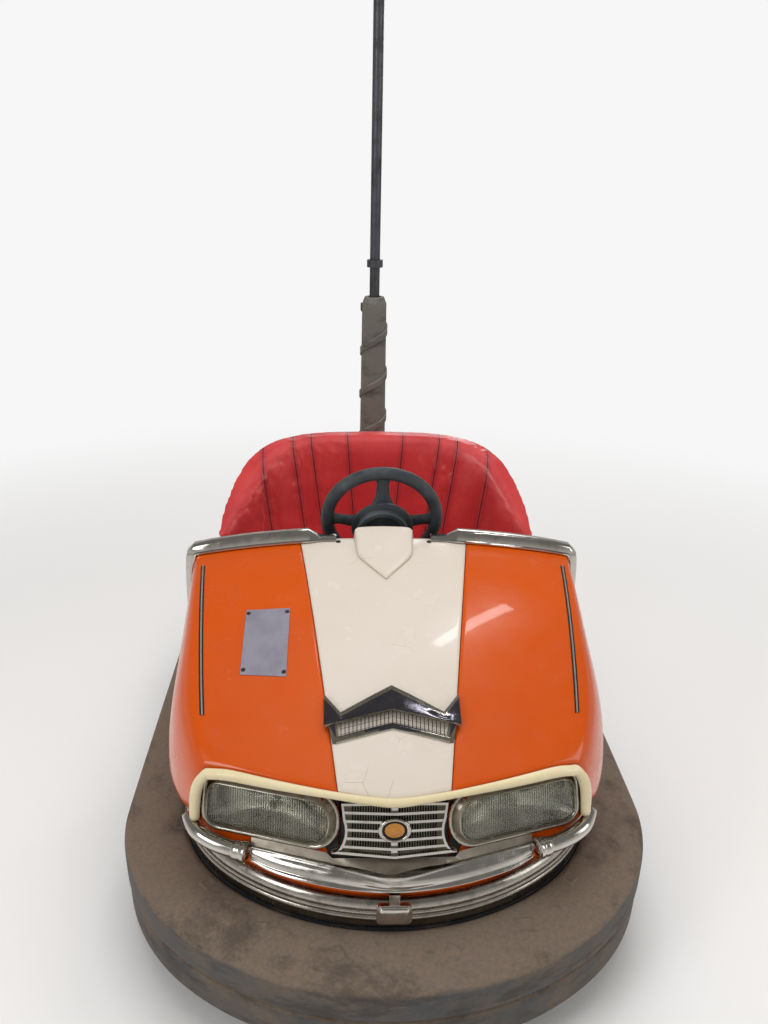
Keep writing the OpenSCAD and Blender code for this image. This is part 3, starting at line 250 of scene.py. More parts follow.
def lamp_glass(name):
    """Pressed clear glass, slightly dusty, with upright flutes moulded in its back, stronger in patches.
    Each flute also carries a dark line of painted shade in the glass's colour.
    """
    material, tree, shader = surface(name, Transmission_Weight=1.0, IOR=1.48)
    where = place(tree)
    dust = cloudy(tree, where, 30, 5)
    tone = blend_colours(tree, between(tree, dust, 0, 1), "#FAFAF6", "#E6E6DC")
    tree.links.new(between(tree, cloudy(tree, where, 14, 6), 0.0, 0.05), shader.inputs["Roughness"])
    across = put(tree, "SeparateXYZ", {"Vector": where}).outputs["X"]
    flute = math_node(tree, "SINE", math_node(tree, "MULTIPLY", across, math.tau / 0.0045))
    patch = between(tree, cloudy(tree, place(tree, (1, 1, 0.6)), 45, 1), 0.7, 1, (0.4, 0.6))
    # Painted shade: a dark line along each flute, in patches, stands in for the light the flutes bend away.
    line = math_node(tree, "MULTIPLY", between(tree, flute, 0, 0.9, (-0.2, 0.8)), patch)
    tree.links.new(blend_colours(tree, line, tone, "#6A6E66"), shader.inputs["Base Color"])
    relief(tree, shader, math_node(tree, "MULTIPLY", flute, patch), 0.5, 1.0)
    return material


def brushed_alloy(name):
    """Rolled aluminium sheet, brushed one way, scuffed and dulled to a soft grey."""
    material, tree, shader = surface(name, Metallic=0.45)
    strokes = cloudy(tree, place(tree, (1, 0.04, 0.04)), 0.8, 4)
    wear = cloudy(tree, place(tree), 40, 6)
    tree.links.new(blend_colours(tree, between(tree, wear, 0, 1, (0.45, 0.8)), "#A5A2B2", "#8E8B9A"),
                   shader.inputs["Base Color"])
    tree.links.new(between(tree, strokes, 0.3, 0.5), shader.inputs["Roughness"])
    relief(tree, shader, strokes, 0.05, 0.4)
    return material


ORANGE = gelcoat("gelcoat_orange", "#D05200", "#CA4E00", 0.25)
CREAM = gelcoat("gelcoat_cream", "#DAD0C5", "#D5CABC", 0.7)
BROW = gelcoat("gelcoat_warm_cream", "#EADCB6", "#DFD0A6", 0.2)
CHROME = chrome("chromed_steel", "#CAC6BF", 0.07)
WORN_CHROME = chrome("worn_chromed_steel", "#AEA8A0", 0.15, grime=0.55)
RIM_CHROME = chrome("weathered_chrome", "#B5B0A4", 0.16, "#6B6252", 0.6)
# The dark, bluish colour of this chrome is a painted dark reflection, given to the scoop hood's upward
# faces.
DARK_REFLECTION_CHROME = chrome("chrome_with_painted_dark_reflection", "#6E6C74", 0.08, "#3C3730", 0.4)
SILVERED = chrome("silvered_reflector", "#D2CEC4", 0.1, "#7F7B70", 0.5)
STRIP_METAL = satin("anodised_strip", "#B9B5AD", "#8E8A82", 0.3, metallic=0.5, depth_mm=0.02)
OLIVE = satin("lacquered_zinc", "#8E8674", "#655E4E", 0.4, metallic=0.4)
MESH = satin("zinc_mesh", "#A8A390", "#6E6A58", 0.4, metallic=0.8)
MAT_RUBBER = rubber("ribbed_rubber_mat", "#26282A", "#4A453F")
# Painted shade: a flat black laid behind the grille and in the wing grooves; the badge's dish takes it as
# well.
SHADOW_PAINT = satin("painted_shadow_black", "#1B1B1C", "#2A2825", 0.7)
RING_RUBBER = rubber("ring_rubber", "#4C4D4E", "#7A6A5B")
WHEEL_RUBBER = rubber("wheel_rubber", "#2B2C2E", "#4A453F")
SLEEVE = rubber("sleeve_rubber", "#6C6963", "#827E74", (0.5, 1.0))
BLACK_PAINT = satin("chassis_paint", "#2A2C30", "#48423C")
BLACK_PLASTIC = satin("moulded_black_plastic", "#32383C", "#51585B", 0.45, 2.0)
POLE_STEEL = satin("drawn_steel_tube", "#55555A", "#3E3D3E", 0.35, metallic=0.8)
STEEL = satin("bare_steel", "#76787C", "#57544F", 0.35, metallic=0.9)
WORN_STEEL = satin("worn_screw_steel", "#4A4540", "#2E2A27", 0.4, metallic=0.6)
DULL_CHROME = satin("dulled_chrome", "#A0978A", "#7A7163", 0.34, metallic=0.8)
BRONZE = satin("contact_bronze", "#9A7438", "#6B5530", 0.3, metallic=1.0)
MOTOR_PAINT = satin("motor_enamel", "#3F5A6B", "#2E3E48", 0.3)
AMBER = satin("amber_enamel", "#C98A3A", "#A06A22", 0.15, depth_mm=0.02)
VINYL = vinyl("red_vinyl")
SEAMED_VINYL = vinyl("red_vinyl_seamed", seamed=True)
GLASS = lamp_glass("fluted_glass")
ALLOY = brushed_alloy("brushed_aluminium")


# Pieces

def welded(node):
    """A bmesh copy of a CAD node, with its loose triangles joined."""
    bm = bmesh.new()
    bm.from_mesh(NODES[node].data)
    bmesh.ops.remove_doubles(bm, verts=bm.verts, dist=0.02 * MM)
    bmesh.ops.dissolve_degenerate(bm, dist=0.01 * MM, edges=bm.edges)
    return bm


def sharpen(bm, degrees):
    """Smooth faces, with every edge sharper than the angle left sharp. Returns those edges."""
    for face in bm.faces:
        face.smooth = True
    sharp = [e for e in bm.edges if not e.is_manifold or e.calc_face_angle(math.pi) > math.radians(degrees)]
    for edge in sharp:
        edge.smooth = False
    return sharp


def piece(bm, name, material, node=None, body=None, slot=None):
    """A finished object of a bmesh. It stands for a CAD node, or rides on a body beside the CAD nodes."""
    mesh = bpy.data.meshes.new(name)
    bm.to_mesh(mesh)
    bm.free()
    mesh.materials.append(material)
    obj = bpy.data.objects.new(name, mesh)
    bpy.context.scene.collection.objects.link(obj)
    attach(obj, body or BODY_OF[node])
    if node:
        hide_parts(node)
    slot or SLOT_OF[node]
    return obj


def add_modifier(obj, kind, **settings):
    modifier = obj.modifiers.new(kind.lower(), kind)
    for name, value in settings.items():
        setattr(modifier, name, value)
    return modifier


def smooth_shell(node, material, degrees=32, crease=0.92, levels=2):
    """A moulded skin: the CAD node's surface, subdivided until it is smooth, with its edges kept crisp."""
    bm = welded(node)
    bmesh.ops.join_triangles(bm, faces=bm.faces, angle_face_threshold=math.radians(20),
                             angle_shape_threshold=math.radians(50))
    layer = bm.edges.layers.float.new("crease_edge")
    for edge in sharpen(bm, degrees):
        edge[layer] = crease
        edge.smooth = True
    obj = piece(bm, node + "_skin", material, node)
    add_modifier(obj, "SUBSURF", levels=levels, render_levels=levels)
    return obj


def crisp_piece(node, material, degrees=35, bevel_mm=0.0, segments=2):
    """A pressed, turned or welded piece: the CAD node's surface, smooth round its curves. A bevel breaks its
    edges."""
    bm = welded(node)
    if bevel_mm:
        bmesh.ops.dissolve_limit(bm, angle_limit=math.radians(1), verts=bm.verts, edges=bm.edges)
    sharpen(bm, degrees)
    obj = piece(bm, node + "_finish", material, node)
    if bevel_mm:
        add_modifier(obj, "BEVEL", width=bevel_mm * MM, segments=segments, limit_method="ANGLE",
                     angle_limit=math.radians(degrees), harden_normals=True)
    return obj


def paint(obj, material, chosen):
    """Gives another material to the faces that chosen(centre, normal) picks."""
    obj.data.materials.append(material)
    index = len(obj.data.materials) - 1
    for face in obj.data.polygons:
        if chosen(face.center, face.normal):
            face.material_index = index


def bake(obj):
    """Replaces the mesh by what its modifiers make of it, and removes them."""
    mesh = bpy.data.meshes.new_from_object(obj.evaluated_get(bpy.context.evaluated_depsgraph_get()))
    obj.modifiers.clear()
    obj.data = mesh


def on_face(x, y, z, turn=0.0):
    """The frame of something flat on the leaning face of the nose, as the CAD places it."""
    return (Matrix.Translation((x, y, z)) @ Matrix.Rotation(math.radians(turn), 4, "Z")
            @ Matrix.Rotation(math.radians(90 - FACE_LEAN), 4, "X"))


def turned(profile, steps=48):
    """A lathe-turned bmesh round Z from (radius, height) points in millimetres."""
    bm = bmesh.new()
    verts = [bm.verts.new((r * MM, 0, z * MM)) for r, z in profile]
    edges = [bm.edges.new(pair) for pair in zip(verts, verts[1:])]
    bmesh.ops.spin(bm, geom=verts + edges, axis=(0, 0, 1), cent=(0, 0, 0), steps=steps, angle=math.tau,
                   use_merge=True, use_duplicate=False)
    bmesh.ops.remove_doubles(bm, verts=bm.verts, dist=0.02 * MM)
    bmesh.ops.recalc_face_normals(bm, faces=bm.faces)
    return bm


def tube(points, radius, name, material, body, slot):
    """A round wire through points, as a mesh."""
    curve = bpy.data.curves.new(name, "CURVE")
    curve.dimensions = "3D"
    curve.bevel_depth = radius
    curve.bevel_resolution = 2
    curve.use_fill_caps = True
    spline = curve.splines.new("POLY")
    spline.points.add(len(points) - 1)
    for point, place_at in zip(spline.points, points):
        point.co = (*place_at, 1)
    maker = bpy.data.objects.new(name + "_path", curve)
    bpy.context.scene.collection.objects.link(maker)
    bm = bmesh.new()
    bm.from_mesh(maker.to_mesh())
    maker.to_mesh_clear()
    bpy.data.objects.remove(maker)
    sharpen(bm, 50)
    return piece(bm, name, material, body=body, slot=slot)


def surface_of(node):
    """A search tree of a CAD node, to set small things down on it."""
    bm = welded(node)
    tree = BVHTree.FromBMesh(bm)
    bm.free()
    return tree


def drop_on(tree, x, y, from_z=2.0):
    """The point and normal where a plumb line meets a node."""
    hit, normal, _, _ = tree.ray_cast(Vector((x, y, from_z)), Vector((0, 0, -1)))
    return hit, normal


def stand_on(point, normal, heading=0.0):
    """The frame of a small piece that stands on a surface."""
    turn = normal.to_track_quat("Z", "Y").to_matrix().to_4x4()
    return Matrix.Translation(point) @ turn @ Matrix.Rotation(heading, 4, "Z")


def screw(name, frame_at, radius_mm, material, body, slot):
    """A slotted round-head screw: a turned head with a slot pressed across it."""
    r = radius_mm
    dome = [(0, 0.55), (0.35, 0.52), (0.7, 0.38), (0.95, 0.12), (1, 0), (0, 0)]
    bm = turned([(out * r, up * r) for out, up in dome], 24)
    for vert in bm.verts:
        if abs(vert.co.x) < 0.16 * r * MM and vert.co.z > 0.1 * r * MM:
            vert.co.z -= 0.25 * r * MM
    bmesh.ops.transform(bm, matrix=frame_at, verts=bm.verts)
    sharpen(bm, 40)
    return piece(bm, name, material, body=body, slot=slot)


# The padded seat. Foam under stretched vinyl is swollen by a short cloth simulation, held along its seams.

SEAT_CENTRE_Y = 0.2
SIDE_PAD_BACK_Y = 0.3
BACK_FOOT_Z = 0.41


def ramp(value, start, end):
    """0 before the start, 1 after the end, and a straight rise between them."""
    return min(1.0, max(0.0, (value - start) / (end - start)))

def from_seam(x, z):
    """Distance in metres from the nearest seam of the seat back, measured across it."""
    return min(abs(abs(x) - foot - slope * (z - SEAM_FOOT_Z)) for foot, slope in SEAMS)


def swollen(obj, free, sunk_mm, cell_mm, pressure):
    """Sinks the padded faces, then lets the foam push them out again wherever no seam holds them down. For
    a point and its normal, free gives how far it sinks and how loose it is, each from 0 to 1."""
    add_modifier(obj, "REMESH", mode="VOXEL", voxel_size=cell_mm * MM)
    bake(obj)
    mesh = obj.data
    start = [v.co.copy() for v in mesh.vertices]
    loose = [free(v.co, v.normal) for v in mesh.vertices]
    for vert, (depth, _) in zip(mesh.vertices, loose):
        vert.co -= vert.normal * sunk_mm * MM * depth
    pinned = obj.vertex_groups.new(name="pinned")
    for index, (_, share) in enumerate(loose):
        pinned.add([index], 1.0 - share, "REPLACE")
    cloth = add_modifier(obj, "CLOTH")
    cloth.settings.quality = 2
    cloth.settings.use_pressure = True
    cloth.settings.uniform_pressure_force = pressure
    cloth.settings.effector_weights.gravity = 0
    cloth.settings.vertex_group_mass = "pinned"
    cloth.settings.tension_stiffness = cloth.settings.compression_stiffness = 8
    cloth.settings.bending_stiffness = 0.4
    cloth.point_cache.frame_start, cloth.point_cache.frame_end = 1, 20
    for frame_number in range(1, 21):
        bpy.context.scene.frame_set(frame_number)
    sunk = [v.co.copy() for v in mesh.vertices]
    bake(obj)
    bpy.context.scene.frame_set(1)
    for vert, low, high, (_, share) in zip(obj.data.vertices, sunk, start, loose):
        push = (vert.co - low).length
        vert.co = low.lerp(high, min(1.0, push / sunk_mm / MM) * share ** 0.5)
    add_modifier(obj, "SMOOTH", factor=0.5, iterations=7)
    add_modifier(obj, "SUBSURF", levels=1, render_levels=1)
    bake(obj)


def upholster_back():
    bm = welded("seat_back")
    for face in bm.faces:
        face.smooth = True
    obj = piece(bm, "seat_back_padding", SEAMED_VINYL, "seat_back")

    def free(point, normal):
        outward = normal.dot(Vector((point.x, point.y - SEAT_CENTRE_Y, 0)).normalized())
        depth = ramp(outward, 0.6, 0.1) * ramp(normal.z, -0.5, -0.2)
        if point.z < BACK_FOOT_Z or point.y < SIDE_PAD_BACK_Y:
            return depth * 0.3, 0.0
        return depth, ramp(from_seam(point.x, point.z), 0.003, 0.023)

    swollen(obj, free, sunk_mm=10, cell_mm=7, pressure=20)
    for polygon in obj.data.polygons:
        polygon.use_smooth = True


def upholster_cushion():
    bm = welded("seat_cushion")
    for face in bm.faces:
        face.smooth = True
    obj = piece(bm, "seat_cushion_padding", VINYL, "seat_cushion")

    def free(point, normal):
        depth = ramp(normal.z, -0.1, 0.3)
        return depth, depth * ramp(abs(point.x), 0.003, 0.023)

    swollen(obj, free, sunk_mm=8, cell_mm=9, pressure=5)
    for polygon in obj.data.polygons:
        polygon.use_smooth = True


upholster_back()
upholster_cushion()


# Body

front = smooth_shell("front_shell", ORANGE)
smooth_shell("bonnet_panel", CREAM)
smooth_shell("rear_shell", ORANGE)
smooth_shell("rubber_ring", RING_RUBBER, crease=0.6)
smooth_shell("base_rail", WORN_CHROME, degrees=60)
bar = smooth_shell("bumper_bar", CHROME, degrees=60)
for vert in bar.data.vertices:
    vert.co += vert.normal * 3.5 * MM * ramp(abs(vert.co.x), 0.262, 0.292)
smooth_shell("mast_cable", SLEEVE, degrees=50)
crisp_piece("body_skirt", ORANGE)
for name in ("dash_panel", "pedal"):
    crisp_piece(name, BLACK_PLASTIC, bevel_mm=0.8)
for name in ("rear_axle_brackets", "bulkhead", "seat_plinth"):
    crisp_piece(name, BLACK_PAINT)
for name in ("column_tube", "drive_fork", "mast_socket"):
    crisp_piece(name, STEEL)
crisp_piece("mast_sleeve", SLEEVE)
crisp_piece("mast_pole", POLE_STEEL)
crisp_piece("mast_contact", BRONZE)
crisp_piece("drive_motor", MOTOR_PAINT)
for name in ("chassis_frame", "floor_pan", "drive_bridge"):
    NODES[name].data.materials.clear()
    NODES[name].data.materials.append(BLACK_PAINT)


# Lamps: a bright rim with a dull wall inside it, fluted glass, a silvered bowl and a bulb.

LAMP_STRAIGHT = 0.079
LAMP_WALL_R = 0.0464
LAMP_LEAN = 0.006
WALL_OUTER_R = 0.0525
BULB_SECTION = [(0, -4), (4, -3.4), (7.5, 0), (9, 5), (7.5, 10), (5.5, 14), (5.5, 20), (0, 20)]
HOLDER_SECTION = [(0, 0), (8, 0), (8, 3), (6.2, 4), (6.2, 16), (0, 16)]

def side_of(node):
    """1 for a piece on the +x side of the car, -1 for one on the other side."""
    return 1 if sum(v.co.x for v in NODES[node].data.vertices) > 0 else -1


def lamp_frame(side):
    return on_face(side * LAMP_AT[0], LAMP_AT[1], LAMP_AT[2], side * LAMP_TURN)


def lamp_core(at):
    """The nearest point of the line that a lamp's outline runs round, in the lamp's own frame."""
    return Vector((max(-LAMP_STRAIGHT, min(LAMP_STRAIGHT, at.x)), 0, at.z))


def lean_in(obj, frame_at):
    """Narrows a lamp piece towards its front, so that the rim's wall leans in round a smaller glass."""
    local = frame_at.inverted()
    for vert in obj.data.vertices:
        at = local @ vert.co
        share = ramp(at.z, 0.0065, 0.0165)
        vert.co = frame_at @ lamp_core(at).lerp(at, 1 - share * LAMP_LEAN / LAMP_WALL_R)


def behind_glass(section, name, material, depth, side, body, slot):
    """A turned piece that points back from the glass along the lamp's axis, a little above its middle."""
    bm = turned(section, 32)
    back = lamp_frame(side) @ Matrix.Translation((0, 0.002, -depth)) @ Matrix.Rotation(math.pi, 4, "X")
    bmesh.ops.transform(bm, matrix=back, verts=bm.verts)
    sharpen(bm, 40)
    piece(bm, name, material, body=body, slot=slot)


def fit_lamp(hand):
    bezel = crisp_piece("headlamp_bezel_" + hand, RIM_CHROME, degrees=50)
    side = side_of("headlamp_bezel_" + hand)
    local = lamp_frame(side).inverted()

    def wall(centre, normal):
        at = local @ centre
        return (at - lamp_core(at)).length < WALL_OUTER_R and at.z < 0.0175

    paint(bezel, OLIVE, wall)
    bowl = smooth_shell("headlamp_reflector_" + hand, SILVERED, degrees=50, levels=1)
    glass = smooth_shell("headlamp_lens_" + hand, GLASS, degrees=50, levels=1)
    for obj in (bezel, bowl, glass):
        lean_in(obj, lamp_frame(side))
    body = BODY_OF["headlamp_lens_" + hand]
    behind_glass(BULB_SECTION, "bulb_" + hand, GLASS, 0.012, side, body, SLOT_OF["headlamp_lens_" + hand])
    behind_glass(HOLDER_SECTION, "bulb_holder_" + hand, OLIVE, 0.031, side, body,
                 SLOT_OF["headlamp_bezel_" + hand])


for hand in ("left", "right"):
    fit_lamp(hand)


# Nose and trim

NOSE_FRAME = on_face(0, NOSE_Y, 0.436)
NOSE_OUT = NOSE_FRAME.col[2].to_3d()
PANEL_FACE = -0.007
MESH_FACE = -0.0048
BROW_CORNER = Vector((0.364, -0.708, 0.508))
BROW_CORNER_REACH = 0.066
BROW_CORNER_PUSH = Vector((-0.014, -0.0058, -0.0172))


def round_corners(obj):
    """Rounds the brow's two corners. The shell and the panel behind take the same push, so nothing opens."""
    for vert in obj.data.vertices:
        side = Vector((1 if vert.co.x > 0 else -1, 1, 1))
        far = (vert.co * side - BROW_CORNER).length
        vert.co += BROW_CORNER_PUSH * side * max(0.0, 1 - far / BROW_CORNER_REACH) ** 2


brow = smooth_shell("brow_moulding", BROW, degrees=86)
round_corners(brow)
round_corners(front)
for vert in brow.data.vertices:
    vert.co += vert.normal * 2.2 * MM * ramp(abs(vert.co.x), 0.12, 0)
backing = crisp_piece("nose_panel", ORANGE)
round_corners(backing)
# Painted shade: the nose panel's face behind the grille is black, so the mesh shows dark as in shade.
paint(backing, SHADOW_PAINT, lambda at, out: abs(at.x) < 0.12 and out.dot(NOSE_OUT) > 0.7
      and (NOSE_FRAME.inverted() @ at).z < PANEL_FACE)
grille = crisp_piece("grille", CHROME)
paint(grille, MESH, lambda at, out: (NOSE_FRAME.inverted() @ at).z < MESH_FACE)


def close_shelf_up():
    """Lifts the back edge of the bumper's shelf to the lamps, and draws its ends out to the clamps."""
    shelf = crisp_piece("bumper_shelf", DULL_CHROME)
    for vert in shelf.data.vertices:
        x, _, z = vert.co
        end = max(0.0, (abs(x) - 0.19) / 0.068)
        vert.co += Vector((math.copysign(0.01 * end, x), 0.003 * end, 0))
        if z > 0.3631 and abs(x) > 0.116:
            vert.co += Vector((0, 0.003, 0.007))


def ridge_nacelle():
    """Raises a soft ridge down the middle of the nacelle's shield."""
    nacelle = smooth_shell("steering_nacelle", CREAM, degrees=55, crease=0.7)
    for vert in nacelle.data.vertices:
        if vert.normal.z > 0.3:
            ridge = ramp(abs(vert.co.x), 0.068, 0) * ramp(vert.co.y, -0.15, -0.2)
            vert.co += vert.normal * 5 * MM * ridge


close_shelf_up()
ridge_nacelle()
crisp_piece("overriders", CHROME, degrees=50)
crisp_piece("base_rail_clamp", CHROME, degrees=30, bevel_mm=2.0, segments=3)


def pillow(name, frame_at, wide_mm, high_mm, rise_mm, material, body, slot):
    """A pressed metal cover with rounded corners and a slightly bulged face."""
    bm = bmesh.new()
    bmesh.ops.create_grid(bm, x_segments=24, y_segments=18, size=1)
    for vert in bm.verts:
        x, y = vert.co.x, vert.co.y
        pinch = 1 - 0.5 * abs(x * y) ** 4 * (1 - 1 / math.sqrt(2))
        edge = max(abs(x), abs(y))
        rise = rise_mm * (1 - 0.5 * x * x - 0.5 * y * y) - 2.5 * max(0.0, (edge - 0.8) / 0.2) ** 3
        vert.co = Vector((x * wide_mm / 2 * pinch, y * high_mm / 2 * pinch, rise)) * MM
    bmesh.ops.transform(bm, matrix=frame_at, verts=bm.verts)
    sharpen(bm, 60)
    return piece(bm, name, material, body=body, slot=slot)


CLAMP_FACE = Matrix.Translation((0, -0.857, 0.286)) @ Matrix.Rotation(math.radians(90), 4, "X")
pillow("base_rail_clamp_cover", CLAMP_FACE, 58, 37, 3.0, CHROME, BODY_OF["base_rail_clamp"],
       SLOT_OF["base_rail_clamp"])


def wing_trim():
    """The bright strips on the wings, each narrower than the dark groove that it lies in. The groove's dark
    is painted shade: a black ribbon under each strip.
    """
    strips = crisp_piece("wing_strips", STRIP_METAL)
    for vert in strips.data.vertices:
        vert.co.x -= math.copysign(2 * MM, vert.normal.x)
    # Painted shade: a black ribbon under each strip, a little wider than it, stands in for the shade in its
    # groove.
    groove = welded("wing_strips")
    groove.normal_update()
    for vert in groove.verts:
        vert.co.x += math.copysign(0.8 * MM, vert.normal.x)
        if vert.normal.z > 0:
            vert.co.z -= 2.4 * MM
    piece(groove, "wing_groove_painted_shade", SHADOW_PAINT, body=BODY_OF["wing_strips"], slot=SLOT_OF["wing_strips"])


wing_trim()
crisp_piece("cowl_rail_left", CHROME, degrees=50)
crisp_piece("cowl_rail_right", CHROME, degrees=50)
crisp_piece("blank_plate", ALLOY, bevel_mm=1.0, segments=3)
SCOOP_Y = NOSE_Y + 0.2
SCOOP_HALF = 0.101


def scoop_rear(x):
    """The back edge of the scoop's W-shaped hood."""
    return SCOOP_Y - 0.5 * min(abs(x), 0.1) + 1.2 * max(0.0, abs(x) - 0.1)


def mesh_wire(share):
    """A thin V-shaped wire across the scoop's upright slats, at a share of their height."""
    points = []
    for x in (-SCOOP_HALF, -SCOOP_HALF / 2, 0, SCOOP_HALF / 2, SCOOP_HALF):
        foot, lip = SCOOP_Y - 0.074 - 0.2 * abs(x), SCOOP_Y - 0.05 - 0.185 * abs(x)
        low, high = drop_on(PANEL_TREE, x, foot)[0].z + 0.002, drop_on(PANEL_TREE, x, lip)[0].z + 0.0085
        points.append((x, foot + (lip - foot) * share - 0.0012, low + (high - low) * share))
    tube(points, 0.0006, f"scoop_wire_{round(share * 100)}", CHROME, BODY_OF["bonnet_scoop"],
         SLOT_OF["bonnet_scoop"])


PANEL_TREE = surface_of("bonnet_panel")
scoop = crisp_piece("bonnet_scoop", RIM_CHROME, degrees=40)
# The hood's upward faces in front of its back band take the darker chrome: a painted dark reflection.
paint(scoop, DARK_REFLECTION_CHROME, lambda at, out: out.z > 0.6 and at.z > 0.56 and at.y < scoop_rear(at.x) - 0.0105)
for share in (0.34, 0.68):
    mesh_wire(share)


def dress_steering_wheel():
    """The moulded wheel, with a hub that widens towards the nacelle."""
    lean = Matrix.Rotation(math.radians(-74), 4, "X")
    frame_at = Matrix.Translation(PIVOT_OF["steering_wheel_turn"]) @ lean
    local = frame_at.inverted()
    wheel = crisp_piece("steering_wheel", BLACK_PLASTIC, degrees=50)
    for vert in wheel.data.vertices:
        at = local @ vert.co
        across = at.xy.length
        if 0.03 < across < 0.066 and at.z < 0:
            grown = 1 + 0.2 * ramp(at.z, 0, -0.02) * ramp(across, 0.03, 0.05)
            vert.co = frame_at @ Vector((at.x * grown, at.y * grown, at.z))


dress_steering_wheel()


BADGE_FRAME = NOSE_FRAME @ Matrix.Translation((0, -0.006, 0.0058)) @ Matrix.Diagonal((1, 24 / 31, 1, 1))
BADGE_RIM = [(23.4, 0), (23.4, 3.2), (24.4, 4.3), (26.2, 4.9), (28.3, 4.7), (30, 3.4), (31, 1.2), (31, 0),
             (23.4, 0)]
BADGE_DISH = [(0, 0), (23.3, 0), (23.3, 1.4), (21, 1.5), (0, 1.5)]
BADGE_ENAMEL = [(0, 1.5), (18, 1.5), (18.2, 2), (17.4, 2.7), (15.6, 3), (14.6, 2.7), (13.6, 3), (10, 4.2),
                (5, 4.9), (0, 5)]


def badge_part(profile, name, material, node=None):
    """One turned part of the oval badge. The profile is in millimetres on its long half axis."""
    bm = turned(profile, 64)
    bmesh.ops.transform(bm, matrix=BADGE_FRAME, verts=bm.verts)
    sharpen(bm, 40)
    return piece(bm, name, material, node, body=BODY_OF["grille_badge"], slot=SLOT_OF["grille_badge"])


badge_part(BADGE_RIM, "badge_rim", CHROME, "grille_badge")
badge_part(BADGE_DISH, "badge_dish", SHADOW_PAINT)
badge_part(BADGE_ENAMEL, "badge_enamel", AMBER)


# Screws

def set_screws(node, places, radius_mm, material, name):
    """Round-head screws driven into a piece from above."""
    tree = surface_of(node)
    for number, (x, y) in enumerate(places):
        frame_at = stand_on(*drop_on(tree, x, y), 0.7 + 1.9 * number)
        screw(f"{name}_{number}", frame_at, radius_mm, material, BODY_OF[node], SLOT_OF[node])


def corners_of(node, inset_mm):
    """Places just inside the four corners of a plate, seen from above."""
    points = [v.co for v in NODES[node].data.vertices]
    middle = sum(points, Vector()) / len(points)
    found = []
    for side, end in ((-1, -1), (1, -1), (1, 1), (-1, 1)):
        corner = max(points, key=lambda p: side * p.x * 2 + end * p.y)
        found.append(corner + (middle - corner).normalized() * inset_mm * MM)
    return [(p.x, p.y) for p in found]


set_screws("blank_plate", corners_of("blank_plate", 12), 4.8, WORN_STEEL, "plate_screw")
for hand, side in (("left", -1), ("right", 1)):
    set_screws("bonnet_panel", [(side * 0.107, -0.157)], 6.0, WORN_STEEL, "rail_screw_" + hand)


# The rubber ring carries a small raised lozenge every so often, moulded in as wear marks.

def wear_mark(number, x, y, heading):
    point, normal = drop_on(RING_TREE, x, y, 0.4)
    bm = bmesh.new()
    bmesh.ops.create_grid(bm, x_segments=6, y_segments=6, size=MARK_HALF)
    for vert in bm.verts:
        edge = max(abs(vert.co.x), abs(vert.co.y)) / MARK_HALF
        vert.co.z = 0.0004 if edge < 0.4 else 0.0024 if edge < 0.9 else -0.002
    bmesh.ops.transform(bm, matrix=stand_on(point, normal, heading), verts=bm.verts)
    for face in bm.faces:
        face.smooth = True
    obj = piece(bm, f"wear_mark_{number}", RING_RUBBER, body=BODY_OF["rubber_ring"],
                slot=SLOT_OF["rubber_ring"])
    add_modifier(obj, "BEVEL", width=0.0006, segments=2, limit_method="ANGLE", angle_limit=math.radians(15))


def rounded(share):
    """Pulls a cosine or sine out towards 1, to turn an oval into the ring's fuller outline."""
    return math.copysign(abs(share) ** 0.8, share)


RING_TREE = surface_of("rubber_ring")
MARK_COUNT = 22
MARK_HALF = 0.017
RING_MIDDLE = (0.503, 0.905)
for number in range(MARK_COUNT):
    angle = math.tau * (number + 0.5) / MARK_COUNT - math.pi / 2
    wear_mark(number, RING_MIDDLE[0] * rounded(math.cos(angle)), RING_MIDDLE[1] * rounded(math.sin(angle)),
              angle + math.pi / 4)


# Wheels: a solid rubber tyre pressed on a steel disc with a dished face, a hub and a ring of bolts.

def road_wheel(node, middle, radius_mm, width_mm, bore_mm, bolts):
    r, half, rim = radius_mm, width_mm / 2, radius_mm * 0.66
    to_axle = Matrix.Translation(middle) @ Matrix.Rotation(math.radians(90), 4, "Y")
    tread = []
    for at in (-0.5, 0.0, 0.5):
        tread += [(r, (at - 0.09) * half), (r - 2.4, (at - 0.06) * half), (r - 2.4, (at + 0.06) * half),
                  (r, (at + 0.09) * half)]
    wall = [(rim, half - 2), (rim + 3, half), (r - 9, half), (r - 3, half - 2), (r, half - 7)]
    far_wall = [(radius, -height) for radius, height in wall]
    tyre = turned(far_wall + tread + wall[::-1] + far_wall[:1], 72)
    bmesh.ops.transform(tyre, matrix=to_axle, verts=tyre.verts)
    sharpen(tyre, 50)
    piece(tyre, node + "_tyre", WHEEL_RUBBER, node)
    dish = [(bore_mm, half - 1), (bore_mm + 9, half - 1), (bore_mm + 11, half - 4),
            (bore_mm + 12, half - 11), (rim - 10, half - 12), (rim - 5, half - 5), (rim - 2, half - 2.5),
            (rim, half - 3)]
    disc = turned(dish + [(radius, -height) for radius, height in reversed(dish)] + [dish[0]], 72)
    bmesh.ops.transform(disc, matrix=to_axle, verts=disc.verts)
    sharpen(disc, 40)
    piece(disc, node + "_disc", STEEL, body=BODY_OF[node], slot=SLOT_OF[node])
    heads = bmesh.new()
    circle = (bore_mm + rim) / 2
    for number in range(bolts):
        angle = math.tau * number / bolts
        for end in (-1, 1):
            spot = Vector((circle * math.cos(angle), circle * math.sin(angle), end * (half - 9.5))) * MM
            bmesh.ops.create_cone(heads, cap_ends=True, segments=6, radius1=6.5 * MM, radius2=6 * MM,
                                  depth=6 * MM, matrix=to_axle @ Matrix.Translation(spot))
    sharpen(heads, 30)
    obj = piece(heads, node + "_bolts", STEEL, body=BODY_OF[node], slot=SLOT_OF[node])
    add_modifier(obj, "BEVEL", width=0.0007, segments=2)


